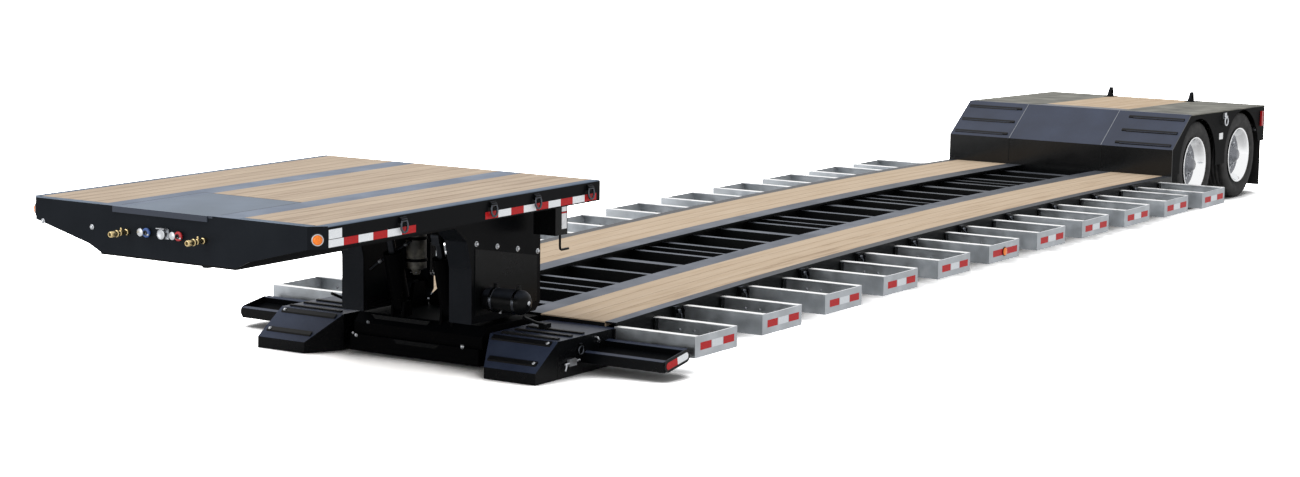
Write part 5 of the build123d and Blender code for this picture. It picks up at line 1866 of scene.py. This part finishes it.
@dataclass
class RunningGear:
    """What shows of the axles from below: U-bolts, brake chambers and camshafts."""

    spring_y: float = 0.52
    bolt_spread: Span = (0.055, 0.046)
    chamber_radius: float = 0.075
    chamber_y: float = 0.33

    def build(self) -> None:
        """Build the fittings of both axles."""
        work = MeshWork("axle_fittings", [ENAMEL, BARE_STEEL])
        r, rim = self.chamber_radius, self.chamber_radius + 0.008
        chamber = [(0, -0.075), (0.05, -0.075), (r, -0.045), (rim, -0.004), (rim, 0.004),
                   (r, 0.045), (0.055, 0.075), (0, 0.078)]
        along, across = self.bolt_spread
        for axle in ("front", "rear"):
            low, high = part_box(f"{axle}_left_tyres")
            x, z = (low.x + high.x) / 2, (low.z + high.z) / 2
            for side in Side:
                y = side * self.spring_y
                for dx, dy in ((-along, -across), (-along, across), (along, -across),
                               (along, across)):
                    work.rod((x + dx, y + dy, z - 0.085), (x + dx, y + dy, z + 0.15), 0.008,
                             BARE_STEEL)
                work.box((x - 0.08, y - 0.06, z - 0.08), (x + 0.08, y + 0.06, z - 0.064), ENAMEL)
                seat = Vector((x - 0.11, side * self.chamber_y, z + 0.03))
                work.turned(chamber, seat, (1, 0, 0), ENAMEL, 36)
                work.rod(seat + Vector((0.07, 0, 0)), seat + Vector((0.1, 0, 0)), 0.012,
                         BARE_STEEL)
        work.finish(Body.DECK, "black_paint", 1.0)


# ------ finishes of the frame's pieces
@dataclass
class FrameDressing:
    """Gives each of the frame's own pieces its finish."""

    by_slot: dict[str, Finish] = field(default_factory=lambda: {
        "tyre": TYRE_RUBBER, "wheel_aluminium": WHEEL_ALUMINIUM, "deck_wood": OAK_DECK,
        "outrigger_aluminium": ALUMINIUM, "steel": BARE_STEEL, "rubber": FLAP_RUBBER,
        "coupling_brass": BRASS, "dusty_steel": TREAD_PLATE, "black_paint": ENAMEL,
        "lamp_lens": AMBER_LENS})
    # neck base, lift barrels, hook shaft, front crossbeam and neck ties take the near-black
    # painted shade, and the lift rods the rod darkened as painted shade
    by_node: dict[str, Finish] = field(default_factory=lambda: {
        "nose_lip_plate": ENAMEL_LIP, "neck_frame": ENAMEL_TOP, "neck_beams": ENAMEL_BEAM,
        "neck_boards": OAK_NECK, "neck_ties": ENAMEL_PAINTED_SHADE, "oil_tank": DUSTY_TANK,
        "neck_base": ENAMEL_PAINTED_SHADE, "lift_barrels": ENAMEL_PAINTED_SHADE, "lift_rods": SHADED_ROD,
        "hook_shaft": ENAMEL_PAINTED_SHADE, "front_crossbeam": ENAMEL_PAINTED_SHADE,
        "front_ramps": ENAMEL_RAMP, "main_beams": ENAMEL_DECK, "side_rails": ENAMEL_RAIL,
        "cross_members": ENAMEL_DECK, "rear_cover": ENAMEL_SLOPE,
        "rear_deck_boards": OAK_REAR, "rear_side_plates": ENAMEL_DULL,
        "rear_frame": ENAMEL_DULL, "rear_ears": ENAMEL_DULL, "spring_hangers": ENAMEL_DULL,
        "axles": ENAMEL, "springs": ENAMEL})

    def build(self) -> None:
        """Set the finish of every node by its name, or else by its slot in the record."""
        slot_of = {s["node"]: s["material_slot"] for s in frame["record"]["subparts"]}
        for node, piece in frame["nodes"].items():
            finish = self.by_node.get(node, self.by_slot[slot_of[node]])
            if not piece.material_slots:
                piece.data.materials.append(finish.material())
            for material_slot in piece.material_slots:
                material_slot.material = finish.material()
            log.info("%s: %s", node, finish.name)


# ------ studio
@dataclass
class Studio:
    """Pale floor, soft light and the camera."""

    floor_half: float = 60.0
    floor_z: float = -0.001
    sky_strength: float = 0.8
    seen_strength: float = 1.0
    key: tuple[float, float, Point] = (1.0, 35.0, (-0.25, 0.35, -1.0))
    front_fill: tuple[float, float, Point] = (1.1, 50.0, (-1.0, 0.1, -0.15))
    camera_place: Point = (-13.98965, 12.9098, 3.94008)
    yaw: float = -0.576473
    pitch: float = -0.142047
    roll: float = 0.01085
    lens_mm: float = 79.29
    sensor_mm: float = 36.0
    view_end: float = 200.0

    def build(self) -> None:
        """Build the floor, the light and the camera."""
        self.floor()
        self.sky()
        self.lamp("key", *self.key)
        self.lamp("front_fill", *self.front_fill)
        self.camera()
        bpy.context.scene.view_settings.view_transform = "Standard"

    def floor(self) -> None:
        """Lay the floor as one broad sheet."""
        work = bpy.data.meshes.new("studio_floor")
        half, z = self.floor_half, self.floor_z
        work.from_pydata([(-half, -half, z), (half, -half, z), (half, half, z), (-half, half, z)],
                         [], [(0, 1, 2, 3)])
        work.materials.append(FLOOR.material())
        sheet = bpy.data.objects.new("studio_floor", work)
        bpy.context.scene.collection.objects.link(sheet)

    def sky(self) -> None:
        """Set the even sky, which the camera and the reflections see as white."""
        world = bpy.data.worlds.new("studio_sky")
        world.use_nodes = True
        bpy.context.scene.world = world
        tree, white = world.node_tree, (1, 1, 1, 1)
        tree.nodes.clear()
        path = add_node(tree, "LightPath")
        seen = add_node(tree, "Math",
                        {0: path.outputs["Is Camera Ray"], 1: path.outputs["Is Glossy Ray"]},
                        {"operation": "MAXIMUM"})
        lit, shown = (add_node(tree, "Background",
                               {"Color": white, "Strength": strength})
                      for strength in (self.sky_strength, self.seen_strength))
        both = add_node(tree, "MixShader",
                        {0: seen.outputs[0], 1: lit.outputs[0], 2: shown.outputs[0]})
        add_node(tree, "OutputWorld", {"Surface": both.outputs[0]})

    def lamp(self, name: str, strength: float, angle: float, toward: Point) -> None:
        """Add a broad, soft lamp far away.

        Args:
            name: name of the lamp.
            strength: its strength.
            angle: how broad it looks, in degrees.
            toward: the way that its light goes.
        """
        light = bpy.data.lights.new(name, "SUN")
        light.energy = strength
        light.angle = math.radians(angle)
        lamp = bpy.data.objects.new(name, light)
        lamp.rotation_euler = Vector(toward).to_track_quat("-Z", "Y").to_euler()
        bpy.context.scene.collection.objects.link(lamp)

    def camera(self) -> None:
        """Stand the camera ahead of the nose on the left, looking back along the trailer."""
        forward = Vector((-math.cos(self.yaw), math.sin(self.yaw), 0))
        right = Vector((math.sin(self.yaw), math.cos(self.yaw), 0))
        up = Vector((0, 0, 1.0))
        look = forward * math.cos(self.pitch) + up * math.sin(self.pitch)
        level_up = up * math.cos(self.pitch) - forward * math.sin(self.pitch)
        turned_right = right * math.cos(self.roll) + level_up * math.sin(self.roll)
        turned_up = level_up * math.cos(self.roll) - right * math.sin(self.roll)
        lens = bpy.data.cameras.new("camera")
        lens.lens = self.lens_mm
        lens.sensor_width = self.sensor_mm
        lens.clip_end = self.view_end
        camera = bpy.data.objects.new("camera", lens)
        turn = Matrix((turned_right, turned_up, -look)).transposed().to_4x4()
        camera.matrix_world = Matrix.Translation(at(*self.camera_place)) @ turn
        bpy.context.scene.collection.objects.link(camera)
        bpy.context.scene.camera = camera


def main() -> None:
    """Build every sub-assembly in order."""
    logging.basicConfig(level=logging.INFO, format="%(message)s")
    ends = ("front_left", "front_right", "rear_left", "rear_right")
    parts = [FrameDressing(), *(TwinWheel(end) for end in ends), Gooseneck(), LiftGear(),
             MainDeck(), RearDeck(), RunningGear(), Studio()]
    for part in parts:
        part.build()
        log.info("built %s", type(part).__name__)


if __name__ == "__main__":
    main()
